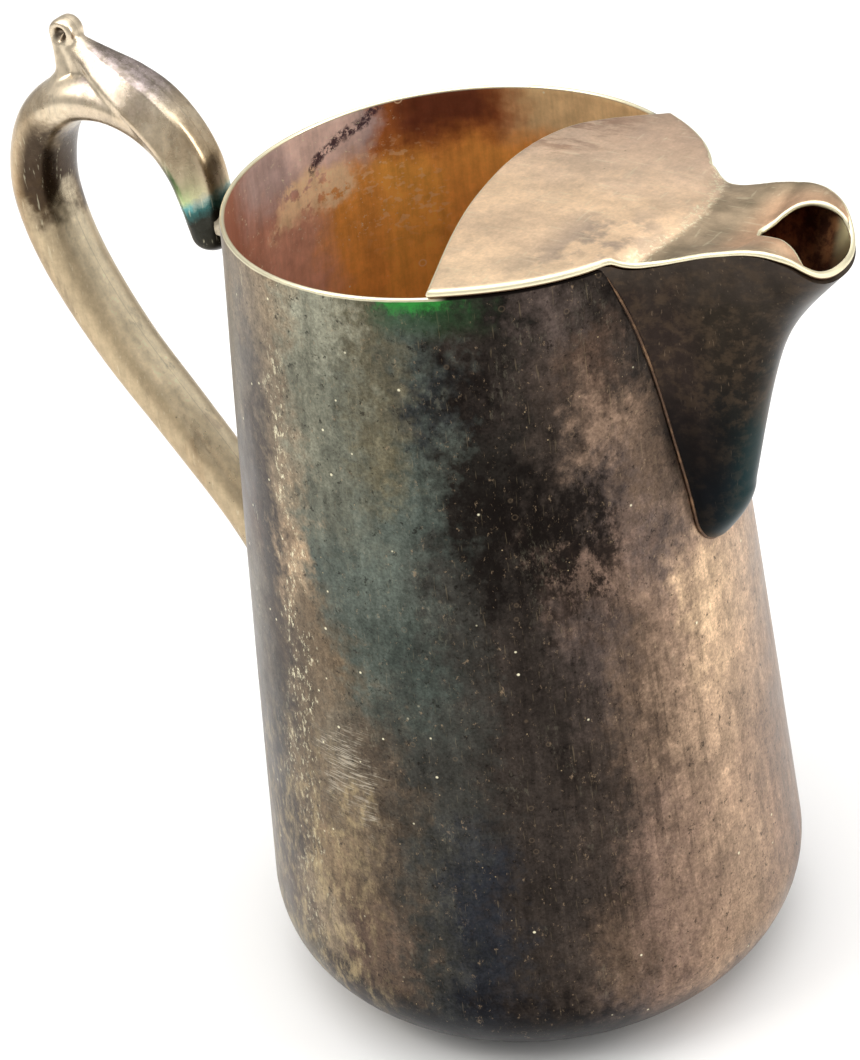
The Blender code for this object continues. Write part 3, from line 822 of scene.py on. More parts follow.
class Value:
    """A number or a colour that a material works out at each place."""

    def __init__(self, paint, socket):
        self.paint = paint
        self.socket = socket

    def __add__(self, other):
        return self.paint.math("ADD", self, other)

    def __radd__(self, other):
        return self.paint.math("ADD", other, self)

    def __mul__(self, other):
        return self.paint.math("MULTIPLY", self, other)

    def __neg__(self):
        return self * -1.0

    def __sub__(self, other):
        return self + -other

    def linear(self, low, high, start=0.0, end=1.0):
        """The start value where this is low and the end value where it is high, straight in between."""
        return self.paint.map_range("LINEAR", self, low, high, start, end)

    def between(self, low, high):
        """0 where this is low, 1 where it is high, smooth in between. Low may be the larger."""
        if low < high:
            return self.paint.map_range("SMOOTHSTEP", self, low, high, 0.0, 1.0)
        return self.paint.map_range("SMOOTHSTEP", self, high, low, 1.0, 0.0)

    def band(self, low, high, soft):
        """1 where this is between low and high, with edges soft on both sides."""
        return self.between(low - soft, low + soft) * self.between(high + soft, high - soft)

    def swing(self, low, high):
        """A noise value, which is mostly 0.3 to 0.7, spread over low to high."""
        return self.linear(0.3, 0.7, low, high)

    def ramp(self, low, high, stops):
        """Colours for values from low to high: stops are (value, colour), lowest first."""
        node = self.paint.add("ShaderNodeValToRGB")
        elements = node.color_ramp.elements
        places = [(at - low) / (high - low) for at, _ in stops]
        elements[0].position, elements[1].position = places[0], places[-1]
        elements[0].color, elements[1].color = (*stops[0][1], 1), (*stops[-1][1], 1)
        for at, (_, colour) in zip(places[1:-1], stops[1:-1]):
            elements.new(at).color = (*colour, 1)
        self.paint.put(node.inputs[0], self.linear(low, high))
        return Value(self.paint, node.outputs["Color"])

    def scaled(self, amount):
        """This colour, every channel multiplied by the same amount."""
        return self.paint.vector("SCALE", self, scale=amount)

    def graded(self, *grades):
        """This colour made darker and lighter by noises, each given as (noise, darkest, lightest)."""
        colour = self
        for grade, low, high in grades:
            colour = colour.scaled(grade.swing(low, high))
        return colour

    def coat(self, colour, *shares):
        """This colour with another laid over it, as far as the product of the shares says."""
        whole = shares[0]
        for share in shares[1:]:
            whole = whole * share
        return self.paint.mix(whole, self, colour)


class Paint:
    """A metal material whose nodes are built by short calls."""

    def __init__(self, name):
        self.material = bpy.data.materials.new(name)
        self.material.use_nodes = True
        self.tree = self.material.node_tree
        self.shader = self.tree.nodes["Principled BSDF"]
        self.shader.inputs["Metallic"].default_value = 1.0
        self.place = self.vector("SCALE", self.output("ShaderNodeTexCoord", "Object"), scale=1 / MM)
        self.x, self.y, self.z = self.split("ShaderNodeSeparateXYZ", self.place)
        normal = self.output("ShaderNodeNewGeometry", "Normal")
        self.facing_x, self.facing_y, self.facing_z = self.split("ShaderNodeSeparateXYZ", normal)

    def add(self, kind):
        return self.tree.nodes.new(kind)

    def output(self, kind, name):
        return Value(self, self.add(kind).outputs[name])

    def split(self, kind, value):
        """The three parts of a place, a direction or a colour."""
        node = self.add(kind)
        self.put(node.inputs[0], value)
        return [Value(self, socket) for socket in node.outputs]

    def put(self, socket, value):
        """Links a worked-out value to a socket, or sets a plain one on it."""
        if isinstance(value, Value):
            self.tree.links.new(value.socket, socket)
        elif isinstance(value, tuple) and len(value) == 3 and socket.type == "RGBA":
            socket.default_value = (*value, 1)
        else:
            socket.default_value = value

    def math(self, operation, a, b=0.0):
        node = self.add("ShaderNodeMath")
        node.operation = operation
        for socket, value in zip(node.inputs, (a, b)):
            self.put(socket, value)
        return Value(self, node.outputs[0])

    def map_range(self, kind, value, *limits):
        node = self.add("ShaderNodeMapRange")
        node.interpolation_type = kind
        self.put(node.inputs["Value"], value)
        for name, number in zip(("From Min", "From Max", "To Min", "To Max"), limits):
            node.inputs[name].default_value = number
        return Value(self, node.outputs["Result"])

    def vector(self, operation, a, b=None, scale=None):
        node = self.add("ShaderNodeVectorMath")
        node.operation = operation
        self.put(node.inputs[0], a)
        if b is not None:
            self.put(node.inputs[1], b)
        if scale is not None:
            self.put(node.inputs["Scale"], scale)
        return Value(self, node.outputs[0])

    def stretched(self, factors, shift=(0.0, 0.0, 0.0)):
        """The place in millimetres, scaled along each axis and then shifted."""
        return self.vector("ADD", self.vector("MULTIPLY", self.place, factors), shift)

    def noise(self, size, factors=(1.0, 1.0, 1.0), detail=4.0, rough=0.55, shift=0.0):
        """Soft noise whose lumps are about size mm across, squeezed by factors."""
        node = self.add("ShaderNodeTexNoise")
        self.put(node.inputs["Vector"], self.stretched(factors, (shift, shift * 0.7, -shift)))
        for name, number in (("Scale", 1 / size), ("Detail", detail), ("Roughness", rough)):
            node.inputs[name].default_value = number
        return Value(self, node.outputs["Fac"])

    def cells(self, size, shift=0.0):
        """(distance to the nearest point as a share of size, a random value for that point)."""
        node = self.add("ShaderNodeTexVoronoi")
        place = self.stretched((1.0, 1.0, 1.0), (shift, shift * 1.3, shift * 0.4))
        self.put(node.inputs["Vector"], place)
        node.inputs["Scale"].default_value = 1 / size
        colour = Value(self, node.outputs["Color"])
        return Value(self, node.outputs["Distance"]), self.split("ShaderNodeSeparateColor", colour)[0]

    def mix(self, share, a, b):
        node = self.add("ShaderNodeMix")
        node.data_type = "RGBA"
        for place, value in ((0, share), (6, a), (7, b)):
            self.put(node.inputs[place], value)
        return Value(self, node.outputs[2])

    def angle(self, from_minus_x=False):
        """Angle about the jug's axis in degrees: -180 to 180 from +X, or from -X."""
        sign = -1.0 if from_minus_x else 1.0
        return self.math("ARCTAN2", self.y * sign, self.x * sign) * (180 / math.pi)

    def attribute(self, name):
        node = self.add("ShaderNodeAttribute")
        node.attribute_name = name
        return Value(self, node.outputs["Fac"])

    def specks(self, size, radius, share, shift=0.0):
        """Small round marks: radius in mm, on this share of cells size mm apart."""
        distance, pick = self.cells(size, shift)
        near = distance.between(radius / size * 1.25, radius / size * 0.6)
        return near * self.math("LESS_THAN", pick, share)

    def rings(self, size, band, share, shift=0.0):
        """Faint rings round the middles of this share of cells: band is in shares of size."""
        distance, pick = self.cells(size, shift)
        return distance.band(*band) * self.math("LESS_THAN", pick, share)

    def scratches(self, factors, size, low=0.66, high=0.74, shift=0.0):
        """Thin lines drawn out along the axes whose factors are small."""
        return self.noise(size, factors, detail=2, rough=0.5, shift=shift).between(low, high)

    def finish(self, colour, roughness, bump, depth):
        """Sets the surface: bump is a height share, depth its size in mm."""
        self.put(self.shader.inputs["Base Color"], colour)
        self.put(self.shader.inputs["Roughness"], roughness)
        node = self.add("ShaderNodeBump")
        node.inputs["Distance"].default_value = depth * MM
        self.put(node.inputs["Height"], bump)
        self.put(self.shader.inputs["Normal"], Value(self, node.outputs[0]))
        return self.material


CREAM = tone(236, 228, 196)
PALE_GOLD = tone(205, 182, 142)
TAN = tone(168, 144, 116)
GOLD_GREY = tone(140, 124, 102)
MUD = tone(82, 74, 66)
STONE = tone(106, 97, 83)
SAND = tone(120, 106, 88)
PALE_SAGE = tone(140, 139, 122)
SAGE = tone(118, 117, 102)
ASH = tone(95, 96, 85)
OLIVE = tone(92, 87, 71)
KHAKI = tone(102, 96, 77)
TEAL_GREY = tone(80, 86, 79)
TEAL = tone(62, 68, 63)
MOSS = tone(55, 54, 50)
SLATE = tone(45, 47, 47)
NAVY = tone(36, 38, 43)
BLUE_BLACK = tone(25, 26, 30)
PITCH = tone(34, 31, 28)
CRUST = tone(24, 20, 18)
PLUM = tone(49, 43, 39)
COCOA = tone(62, 53, 47)
PLUM_GREY = tone(80, 69, 64)
UMBER = tone(78, 67, 56)
DARK_BROWN = tone(79, 63, 53)
BROWN = tone(96, 79, 66)
PLUM_TAN = tone(112, 92, 80)
BRONZE = tone(98, 84, 67)
GOLD_BROWN = tone(118, 100, 78)
ROSE_TAN = tone(134, 111, 94)
DUSTY_TAN = tone(156, 131, 109)
PALE_TAN = tone(178, 150, 124)
BRIGHT_TAN = tone(204, 174, 141)
GREEN = tone(52, 150, 62)

# How the colour changes round the jug: at each height, the colour at each of these angles from the
# spout, in degrees. Past the last one it fades into the colours of the far side. These colours are
# tarnish
# with painted light in them: the dark band round -70 to -45 degrees, which faces the camera, is a painted
# reflection of dark surroundings. The bright tans near -8 to 6 degrees at 49 to 65 mm are a painted
# highlight, and the near-black cells of the two lowest rows are painted contact shade.
TARNISH_AND_LIGHT_ANGLES = [-129, -119, -109, -99, -89, -79, -69, -59, -49, -39, -29, -19, -8, 6, 20]
TARNISH_AND_LIGHT = {
    110: [SAND, SAND, GOLD_GREY, PALE_SAGE, PALE_SAGE, OLIVE, TEAL_GREY, PLUM, PITCH, PLUM_GREY,
          PLUM, CRUST, PLUM, PLUM, COCOA],
    102: [STONE, MUD, SAND, SAGE, ASH, OLIVE, SLATE, CRUST, PLUM, COCOA, DARK_BROWN, PLUM, PLUM,
          COCOA, BROWN],
    94: [STONE, COCOA, SAND, SAGE, ASH, KHAKI, TEAL_GREY, PITCH, PITCH, COCOA, ROSE_TAN, BROWN,
         PLUM, PLUM, BROWN],
    86: [MUD, COCOA, GOLD_GREY, ASH, ASH, TEAL_GREY, TEAL, PITCH, CRUST, PLUM, PLUM_GREY, BROWN,
         COCOA, PLUM, BROWN],
    77: [DARK_BROWN, PLUM, TAN, TEAL_GREY, TEAL_GREY, TEAL_GREY, MOSS, PITCH, PLUM, PLUM_TAN, PLUM_TAN,
         PLUM_GREY, ROSE_TAN, DUSTY_TAN, ROSE_TAN],
    65: [STONE, COCOA, BRONZE, BRONZE, TEAL_GREY, TEAL, MOSS, PLUM, PLUM, PLUM_GREY, BROWN, ROSE_TAN,
         BRIGHT_TAN, PALE_TAN, DUSTY_TAN],
    49: [MUD, PLUM, BRONZE, STONE, UMBER, MOSS, MOSS, PLUM, PLUM, COCOA, BROWN, DUSTY_TAN, PALE_TAN,
         DUSTY_TAN, ROSE_TAN],
    33: [UMBER, COCOA, GOLD_BROWN, GOLD_BROWN, UMBER, MOSS, NAVY, PLUM, PLUM, COCOA, PLUM_TAN, ROSE_TAN,
         DUSTY_TAN, ROSE_TAN, ROSE_TAN],
    20: [BRONZE, DARK_BROWN, GOLD_GREY, DARK_BROWN, BROWN, MOSS, NAVY, PLUM, COCOA, BROWN, PLUM_TAN,
         ROSE_TAN, DUSTY_TAN, ROSE_TAN, ROSE_TAN],
    10: [STONE, STONE, COCOA, PLUM, PITCH, SLATE, BLUE_BLACK, CRUST, CRUST, PLUM_GREY, PLUM_TAN,
         DUSTY_TAN, DUSTY_TAN, DUSTY_TAN, PLUM_TAN],
    3: [UMBER, UMBER, COCOA, PITCH, PITCH, BLUE_BLACK, BLUE_BLACK, CRUST, CRUST, PITCH, BROWN,
        ROSE_TAN, PLUM_TAN, BROWN, UMBER],
}
FAR_SIDE_ANGLES = [45, 72, 98, 124, 148, 166, 180]
FAR_SIDE = {
    110: [COCOA, UMBER, TEAL_GREY, OLIVE, STONE, MUD, STONE],
    102: [BROWN, MUD, TEAL_GREY, ASH, STONE, UMBER, MUD],
    94: [BROWN, UMBER, MOSS, KHAKI, SAND, STONE, MUD],
    86: [PLUM_TAN, UMBER, MOSS, OLIVE, SAND, STONE, MUD],
    77: [ROSE_TAN, STONE, TEAL, OLIVE, STONE, SAND, STONE],
    65: [ROSE_TAN, BRONZE, TEAL, TEAL_GREY, MUD, SAND, STONE],
    49: [DUSTY_TAN, BRONZE, MOSS, TEAL_GREY, UMBER, GOLD_BROWN, BRONZE],
    33: [DUSTY_TAN, GOLD_BROWN, UMBER, MOSS, BROWN, GOLD_BROWN, BRONZE],
    20: [ROSE_TAN, GOLD_BROWN, BROWN, MOSS, UMBER, BRONZE, GOLD_BROWN],
    10: [PLUM_TAN, BROWN, UMBER, SLATE, COCOA, UMBER, STONE],
    3: [UMBER, COCOA, PITCH, PITCH, PITCH, COCOA, UMBER],
}


def tarnish(paint):
    """(colour, warped angle, warped height): tarnish and painted light outside, with wandering edges."""
    angle = paint.angle()
    height = paint.z
    for size, turn, climb, shift in ((17, 4.5, 3.5, 0), (4.5, 4.0, 3.0, 31), (1.4, 3.5, 2.5, 57)):
        angle = angle + paint.noise(size, rough=0.62, shift=shift).swing(-turn, turn)
        lift = paint.noise(size, rough=0.62, shift=shift + 7)
        height = height + lift.swing(-climb, climb)
    colour = None
    lower = None
    for level in sorted(TARNISH_AND_LIGHT):
        stops = [(-180, FAR_SIDE[level][-1]), (-152, TARNISH_AND_LIGHT[level][0])]
        stops += list(zip(TARNISH_AND_LIGHT_ANGLES, TARNISH_AND_LIGHT[level])) + list(zip(FAR_SIDE_ANGLES, FAR_SIDE[level]))
        here = angle.ramp(-180, 180, stops)
        colour = here if colour is None else paint.mix(height.between(lower, level), colour, here)
        lower = level
    return colour, angle, height


def outside_of_body(paint):
    """(colour, roughness, bump) of the tarnished outside, with painted light and shade in its colour."""
    colour, angle, height = tarnish(paint)
    cloud = paint.noise(7, detail=6, rough=0.65, shift=11)
    mottle = paint.noise(1.6, (1.0, 1.0, 0.8), detail=6, rough=0.82, shift=23)
    grain = paint.noise(0.35, detail=3, rough=0.6, shift=41)
    streak = paint.noise(1.3, (1.0, 1.0, 0.05), detail=4, rough=0.6, shift=5)
    wide_streak = paint.noise(5.0, (1.0, 1.0, 0.08), detail=3, rough=0.5, shift=71)
    colour = colour.graded((cloud, 0.74, 1.3), (mottle, 0.60, 1.44), (streak, 0.84, 1.18),
                           (wide_streak, 0.9, 1.12), (grain, 0.74, 1.28))

    # Fine dark runs down the plum-brown side, and black crust below the patch beside the spout.
    runs = paint.noise(0.9, (1.0, 1.0, 0.035), detail=3, rough=0.6, shift=13).between(0.52, 0.62)
    runs = runs * angle.band(-62, -12, 10) * height.band(22, 76, 8) * 0.3
    colour = colour.coat(CRUST, runs)
    crust = paint.noise(3.2, (1.0, 1.0, 0.7), detail=8, rough=0.78, shift=3).between(0.44, 0.54)
    crust_zone = angle.band(-60, -30, 5) * height.band(70, 91, 6)
    colour = colour.coat(CRUST, crust, crust_zone, 0.9)
    # Painted contact shade: low on the camera side the wall is darkened towards blue-black.
    foot = angle.band(-112, -40, 8) * height.between(14, 8) * 0.55
    colour = colour.coat(BLUE_BLACK, foot)
    spots = paint.noise(1.1, detail=6, rough=0.75, shift=83).between(0.58, 0.66)
    colour = colour.coat(CRUST, spots, 0.75)

    # Worn, brighter metal: the speckled streak left of the middle, and scuffs elsewhere.
    flecks = paint.noise(0.55, (1.0, 1.0, 0.45), detail=5, rough=0.75, shift=19).between(0.53, 0.6)
    leaning = angle + (height - 100) * -0.07
    worn_line = leaning.band(-110, -105.5, 2.0) * height.band(10, 100, 8)
    worn_line = worn_line * height.linear(40, 70, 0.6, 1.0)
    scuffs = paint.noise(6, (1.0, 1.0, 0.5), detail=4, rough=0.6, shift=29).between(0.56, 0.68)
    bright_side = 0.05 + angle.band(-128, -96, 10) * 0.3
    worn = worn_line * 0.85 + scuffs * bright_side
    colour = colour.coat(CREAM, flecks, worn)
    gold_side = angle.band(-160, -94, 8) * height.band(-5, 46, 10)
    gold_flecks = paint.noise(1.8, (1.0, 1.0, 0.5), detail=7, rough=0.75, shift=37).between(0.46, 0.66)
    colour = colour.coat(tone(192, 172, 130), gold_side, gold_flecks, 0.55)

    # Scratches: fine ones up and down, a hatched patch low on the left, a few long ones.
    upright = paint.scratches((1.0, 1.0, 0.03), 0.25, 0.67, 0.73, shift=7)
    colour = colour.coat(PALE_GOLD, upright, 0.08)
    hatching = paint.scratches((0.14, 0.14, 1.8), 0.32, 0.50, 0.62, shift=9)
    hatch_zone = angle.band(-104, -91, 4) * height.band(42, 51, 3)
    colour = colour.coat(tone(214, 204, 184), hatching, hatch_zone, 0.42)
    chips = paint.noise(0.8, (1.0, 1.0, 0.7), detail=6, rough=0.8, shift=63).between(0.6, 0.66)
    colour = colour.coat(TAN, chips, 0.4)
    colour = colour.coat(TAN, paint.rings(2.6, (0.1, 0.15, 0.03), 0.3, shift=33), 0.12)
    pits = paint.specks(3.4, 0.20, 0.32, shift=2)
    colour = colour.coat(CREAM, pits, 0.85)
    fleck_side = angle.band(-128, -82, 8) * height.between(10, 40)
    bright_dots = paint.specks(1.9, 0.17, 0.35, shift=4)
    colour = colour.coat(CREAM, bright_dots, fleck_side, 0.9)
    dust = paint.specks(1.5, 0.09, 0.22, shift=6)
    colour = colour.coat(PALE_GOLD, dust, 0.55)

    # Green corrosion under the cover's corner, and the thin bright rim, painted dark as shade where the
    # cover lies over it.
    drip = paint.z + mottle.swing(-0.9, 0.9)
    glow = angle.band(-76, -54, 6) * drip.between(108, 112.4)
    colour = colour.coat(tone(38, 74, 44), glow, 0.55)
    green = angle.band(-73, -59, 4) * drip.between(111.8, 113.6)
    colour = colour.coat(GREEN, green, 0.8)
    lip = (paint.z + cloud.swing(-0.08, 0.08)).between(113.55, 113.72)
    # Painted shade: the rim is dark rather than bright where the cover lies over it.
    shade_under_cover = paint.x.between(12.5, 14.5)
    colour = colour.coat(paint.mix(shade_under_cover, CREAM, CRUST), lip)

    rough = 0.3 + cloud.swing(0.0, 0.14)
    rough = rough + crust_zone * 0.08
    height_share = mottle * 0.5 + grain * 0.35
    height_share = height_share + pits * -0.8
    return colour, rough, height_share


MAROON = tone(168, 112, 92)
DARK_MAROON = tone(96, 48, 34)
RUST = tone(206, 124, 62)
ORANGE = tone(250, 180, 84)
BROWN_ORANGE = tone(240, 166, 80)
MAUVE = tone(232, 202, 186)
MAUVE_GREY = tone(196, 172, 164)
MAROON_PINK = tone(208, 156, 132)
ROSE = tone(220, 166, 136)
OLIVE_GOLD = tone(224, 190, 138)
PEACH = tone(255, 222, 176)
PURPLE = tone(62, 42, 52)


def inside_of_body(paint):
    """(colour, roughness) of the worn gilding inside."""
    # Degrees from the handle, rising towards the cover's far end.
    wander = paint.noise(9, detail=4, rough=0.6, shift=91)
    ripple = paint.noise(2.2, detail=5, rough=0.65, shift=93)
    turn = paint.angle(from_minus_x=True) * -1.0 + wander.swing(-4, 4)
    turn = turn + ripple.swing(-1.5, 1.5)
    height = paint.z + paint.noise(5, detail=5, rough=0.65, shift=97).swing(-1.6, 1.6)
    deep = turn.ramp(-180, 180, [
        (-180, RUST), (-120, RUST), (-60, MAROON), (-20, MAROON), (0, MAROON_PINK), (14, ROSE),
        (23, BROWN_ORANGE), (32, BROWN_ORANGE), (37, ORANGE), (48, ORANGE), (54, BROWN_ORANGE),
        (70, BROWN_ORANGE), (100, RUST), (180, RUST),
    ])
    brim = turn.ramp(-180, 180, [
        (-180, MAROON), (-60, MAROON), (-20, MAROON), (-8, MAUVE_GREY), (4, MAUVE_GREY), (10, MAUVE),
        (26, MAUVE), (33, MAUVE_GREY), (38, RUST), (52, RUST), (66, RUST), (78, OLIVE_GOLD),
        (110, OLIVE_GOLD), (180, MAROON),
    ])
    colour = paint.mix(height.between(103.5, 109.5), deep, brim)
    shadow = turn.band(38, 70, 9) * height.between(104.8, 110.6)
    colour = colour.coat(DARK_MAROON, shadow, 0.92)
    patches = ripple.between(0.4, 0.48)
    peach = turn.band(0, 27, 3) * height.band(102.0, 107.8, 1.2) * patches
    colour = colour.coat(PEACH, peach, 0.95)

    # A broken line of dark crust slants down from the rim towards the handle.
    slope = paint.z + turn * -0.25
    crust_line = (slope + ripple.swing(-1.0, 1.0)).band(103.5, 105.1, 0.4)
    broken = paint.noise(0.9, detail=6, rough=0.8, shift=43).between(0.44, 0.52)
    crust = crust_line * turn.band(14, 37, 2) * broken
    colour = colour.coat(PURPLE, crust, 0.95)
    streak = paint.noise(1.1, (1.0, 1.0, 0.06), detail=4, rough=0.65, shift=47)
    cloud = paint.noise(3.0, detail=6, rough=0.7, shift=53)
    colour = colour.graded((streak, 0.86, 1.12), (cloud, 0.78, 1.18))
    golden = paint.scratches((0.6, 0.6, 1.0), 0.8, 0.56, 0.62, shift=61)
    scratched = golden * turn.band(28, 52, 4) * height.band(94, 108, 3)
    colour = colour.coat(PEACH, scratched, 0.35)
    crumbs = paint.noise(0.7, detail=6, rough=0.8, shift=73).between(0.6, 0.65)
    crumb_zone = turn.band(-20, 40, 6) * height.between(92, 99)
    colour = colour.coat(CREAM, crumbs, crumb_zone, 0.8)
    colour = colour.coat(CREAM, paint.specks(2.3, 0.16, 0.4, shift=12), 0.8)
    colour = colour.coat(PEACH, paint.rings(5.0, (0.09, 0.12, 0.018), 0.45, shift=77), 0.6)
    rough = cloud.swing(0.28, 0.44)
    return colour, rough


def body_paint():
    paint = Paint("tarnished_silver")
    colour, rough, bump = outside_of_body(paint)
    gilt, gilt_rough = inside_of_body(paint)
    towards_out = paint.facing_x * paint.x + paint.facing_y * paint.y
    inside = towards_out.between(1.0, -1.0)
    inside = inside * paint.z.between(113.78, 113.6)
    colour = colour.coat(gilt, inside)
    rough = rough + inside * (gilt_rough - rough)
    paint.put(paint.shader.inputs["Metallic"], inside.linear(0.0, 1.0, 1.0, 0.15))
    return paint.finish(colour, rough, bump, 0.03)


def base_paint():
    """Dull spun metal below, worn gilding above."""
    paint = Paint("spun_base")
    radius = paint.math("SQRT", paint.x * paint.x + paint.y * paint.y)
    rings = paint.math("SINE", radius * 9.0)
    cloud = paint.noise(6, detail=5, rough=0.65)
    mottle = paint.noise(1.2, detail=5, rough=0.7, shift=8)
    below = paint.mix(cloud.between(0.4, 0.62), GOLD_GREY, PLUM_GREY)
    below = below.graded((mottle, 0.75, 1.25))
    below = below.scaled(1.0 + rings * 0.05)
    edge = radius.between(19.0, 20.5)
    below = below.coat(CRUST, edge, 0.6)
    scuffs = paint.scratches((0.3, 1.2, 1.0), 0.6, 0.60, 0.68)
    below = below.coat(PALE_GOLD, scuffs, 0.3)
    above = paint.mix(cloud, RUST, MAROON).graded((mottle, 0.8, 1.2))
    colour = paint.mix(paint.facing_z.between(-0.1, 0.1), below, above)
    bump = mottle * 0.5 + rings * 0.2
    return paint.finish(colour, cloud.swing(0.3, 0.5), bump, 0.02)


def spout_paint():
    """Near-black tarnish outside with a teal bulb below; rusty inside, yellow-green behind the lip."""
    paint = Paint("dark_silver")
    cloud = paint.noise(8, detail=5, rough=0.6, shift=15)
    mottle = paint.noise(1.8, detail=6, rough=0.7, shift=25)
    streak = paint.noise(1.6, (1.0, 1.0, 0.07), detail=4, rough=0.6, shift=35)
    height = paint.z + cloud.swing(-5, 5)
    colour = height.ramp(70, 122, [
        (72, NAVY), (80, BLUE_BLACK), (90, tone(30, 31, 29)), (98, tone(38, 33, 28)),
        (108, tone(44, 38, 31)), (118, tone(66, 58, 52)),
    ])
    near_wall = paint.x.between(38, 33)
    colour = colour.coat(tone(46, 38, 34), near_wall, height.band(84, 112, 4))
    # Painted highlight: the spout's +y half is painted a lighter brown.
    right = (paint.y + cloud.swing(-1.5, 1.5)).between(-2.5, 2.0)
    colour = colour.coat(tone(108, 97, 86), right, 0.7)
    colour = colour.coat(tone(74, 60, 46), mottle.between(0.46, 0.62), 0.4)
    colour = colour.graded((mottle, 0.82, 1.22), (streak, 0.86, 1.16))
    upright = paint.scratches((1.0, 1.0, 0.04), 0.28, 0.67, 0.74, shift=7)
    colour = colour.coat(TAN, upright, 0.18)
    colour = colour.coat(TAN, paint.specks(2.6, 0.15, 0.3, shift=9), 0.7)

    bulb = height.band(64, 92, 6)
    colour = colour.coat(tone(22, 50, 52), bulb, paint.y.band(-2.5, 3.5, 2.5), 0.85)
    shaded = bulb * paint.y.between(-2.0, -4.5) * 0.8
    colour = colour.coat(tone(14, 14, 15), shaded)

    within = paint.mix(mottle.between(0.4, 0.6), tone(72, 44, 32), tone(120, 82, 54))
    within = within.graded((streak, 0.8, 1.2))
    front = paint.x.between(47.0, 49.5) * paint.z.between(108, 112)
    within = within.coat(tone(222, 212, 166), front)
    from_axis = paint.facing_x * (paint.x - 30.0)
    towards_out = from_axis + paint.facing_y * paint.y
    inside = towards_out.between(0.3, -0.3)
    colour = colour.coat(within, inside)
    rough = 0.28 + cloud.swing(0.0, 0.14)
    bump = mottle * 0.6 + streak * 0.2
    return paint.finish(colour, rough, bump, 0.03)


def cover_paint():
    """Rubbed pinkish silver, with a crease where the roof begins and bright edges."""
    paint = Paint("worn_silver")
    cloud = paint.noise(9, (1.0, 1.6, 1.0), detail=5, rough=0.6, shift=18)
    mottle = paint.noise(1.5, detail=6, rough=0.72, shift=28)
    grain = paint.noise(0.4, detail=3, rough=0.6, shift=38)
    across = paint.y + cloud.swing(-3, 3)
    colour = across.ramp(-28, 28, [
        (-28, tone(222, 198, 166)), (-12, tone(232, 202, 168)), (0, tone(234, 204, 170)),
        (9, tone(222, 194, 166)), (17, tone(204, 176, 152)), (28, tone(186, 160, 138)),
    ])
    from_edge = paint.x + paint.y * -0.12
    brown_zone = from_edge.between(16, 6) * across.between(4, 16)
    brown_streaks = paint.noise(2.2, (0.35, 1.0, 1.0), detail=5, rough=0.65, shift=48)
    brown_streaks = brown_streaks.between(0.42, 0.6)
    colour = colour.coat(tone(140, 106, 84), brown_zone, brown_streaks, 0.75)
    smoke = paint.noise(5, detail=5, rough=0.6, shift=58).between(0.46, 0.6)
    smoke_zone = paint.x.band(20, 30, 3) * paint.y.band(-17, -3, 4)
    colour = colour.coat(tone(158, 142, 130), smoke, 0.18 + smoke_zone * 0.5)

    bow = paint.x + paint.y * paint.y * 0.02
    bow = bow + mottle.swing(-0.5, 0.5)
    roof = bow.between(32.6, 33.8)
    olive = paint.mix(cloud.between(0.35, 0.65), tone(146, 130, 106), tone(178, 158, 132))
    hole_side = paint.x.between(37, 41) * paint.y.band(-7, 7, 2)
    olive = olive.coat(tone(218, 176, 142), hole_side, 0.7)
    colour = colour.coat(olive, roof)
    crumbs = paint.noise(0.6, detail=5, rough=0.75, shift=68).between(0.52, 0.58)
    crease = bow.band(31.6, 33.4, 0.5)
    colour = colour.coat(CREAM, crease, crumbs, 0.8)
    colour = colour.graded((cloud, 0.93, 1.07), (mottle, 0.88, 1.13), (grain, 0.94, 1.06))
    fine = paint.scratches((0.12, 1.2, 1.0), 0.5, 0.63, 0.70, shift=78)
    slanting = paint.scratches((0.8, 0.14, 1.0), 0.6, 0.65, 0.72, shift=88)
    colour = colour.coat(CREAM, fine + slanting, 0.22)
    colour = colour.coat(CREAM, paint.specks(2.7, 0.15, 0.35, shift=14), 0.75)
    colour = colour.coat(UMBER, paint.specks(3.3, 0.2, 0.25, shift=24), 0.5)

    under = paint.mix(cloud, tone(96, 70, 52), tone(142, 112, 84)).graded((mottle, 0.8, 1.2))
    colour = colour.coat(under, paint.facing_z.between(0.0, -0.3))
    worn_edge = paint.attribute("edge_distance") + mottle.swing(-0.12, 0.12)
    edge = worn_edge.between(0.44, 0.3) * paint.facing_z.between(-0.5, -0.2)
    colour = colour.coat(tone(238, 230, 198), edge)
    rough = 0.4 + cloud.swing(0.0, 0.12)
    bump = mottle * 0.5 + grain * 0.3
    return paint.finish(colour, rough, bump, 0.025)


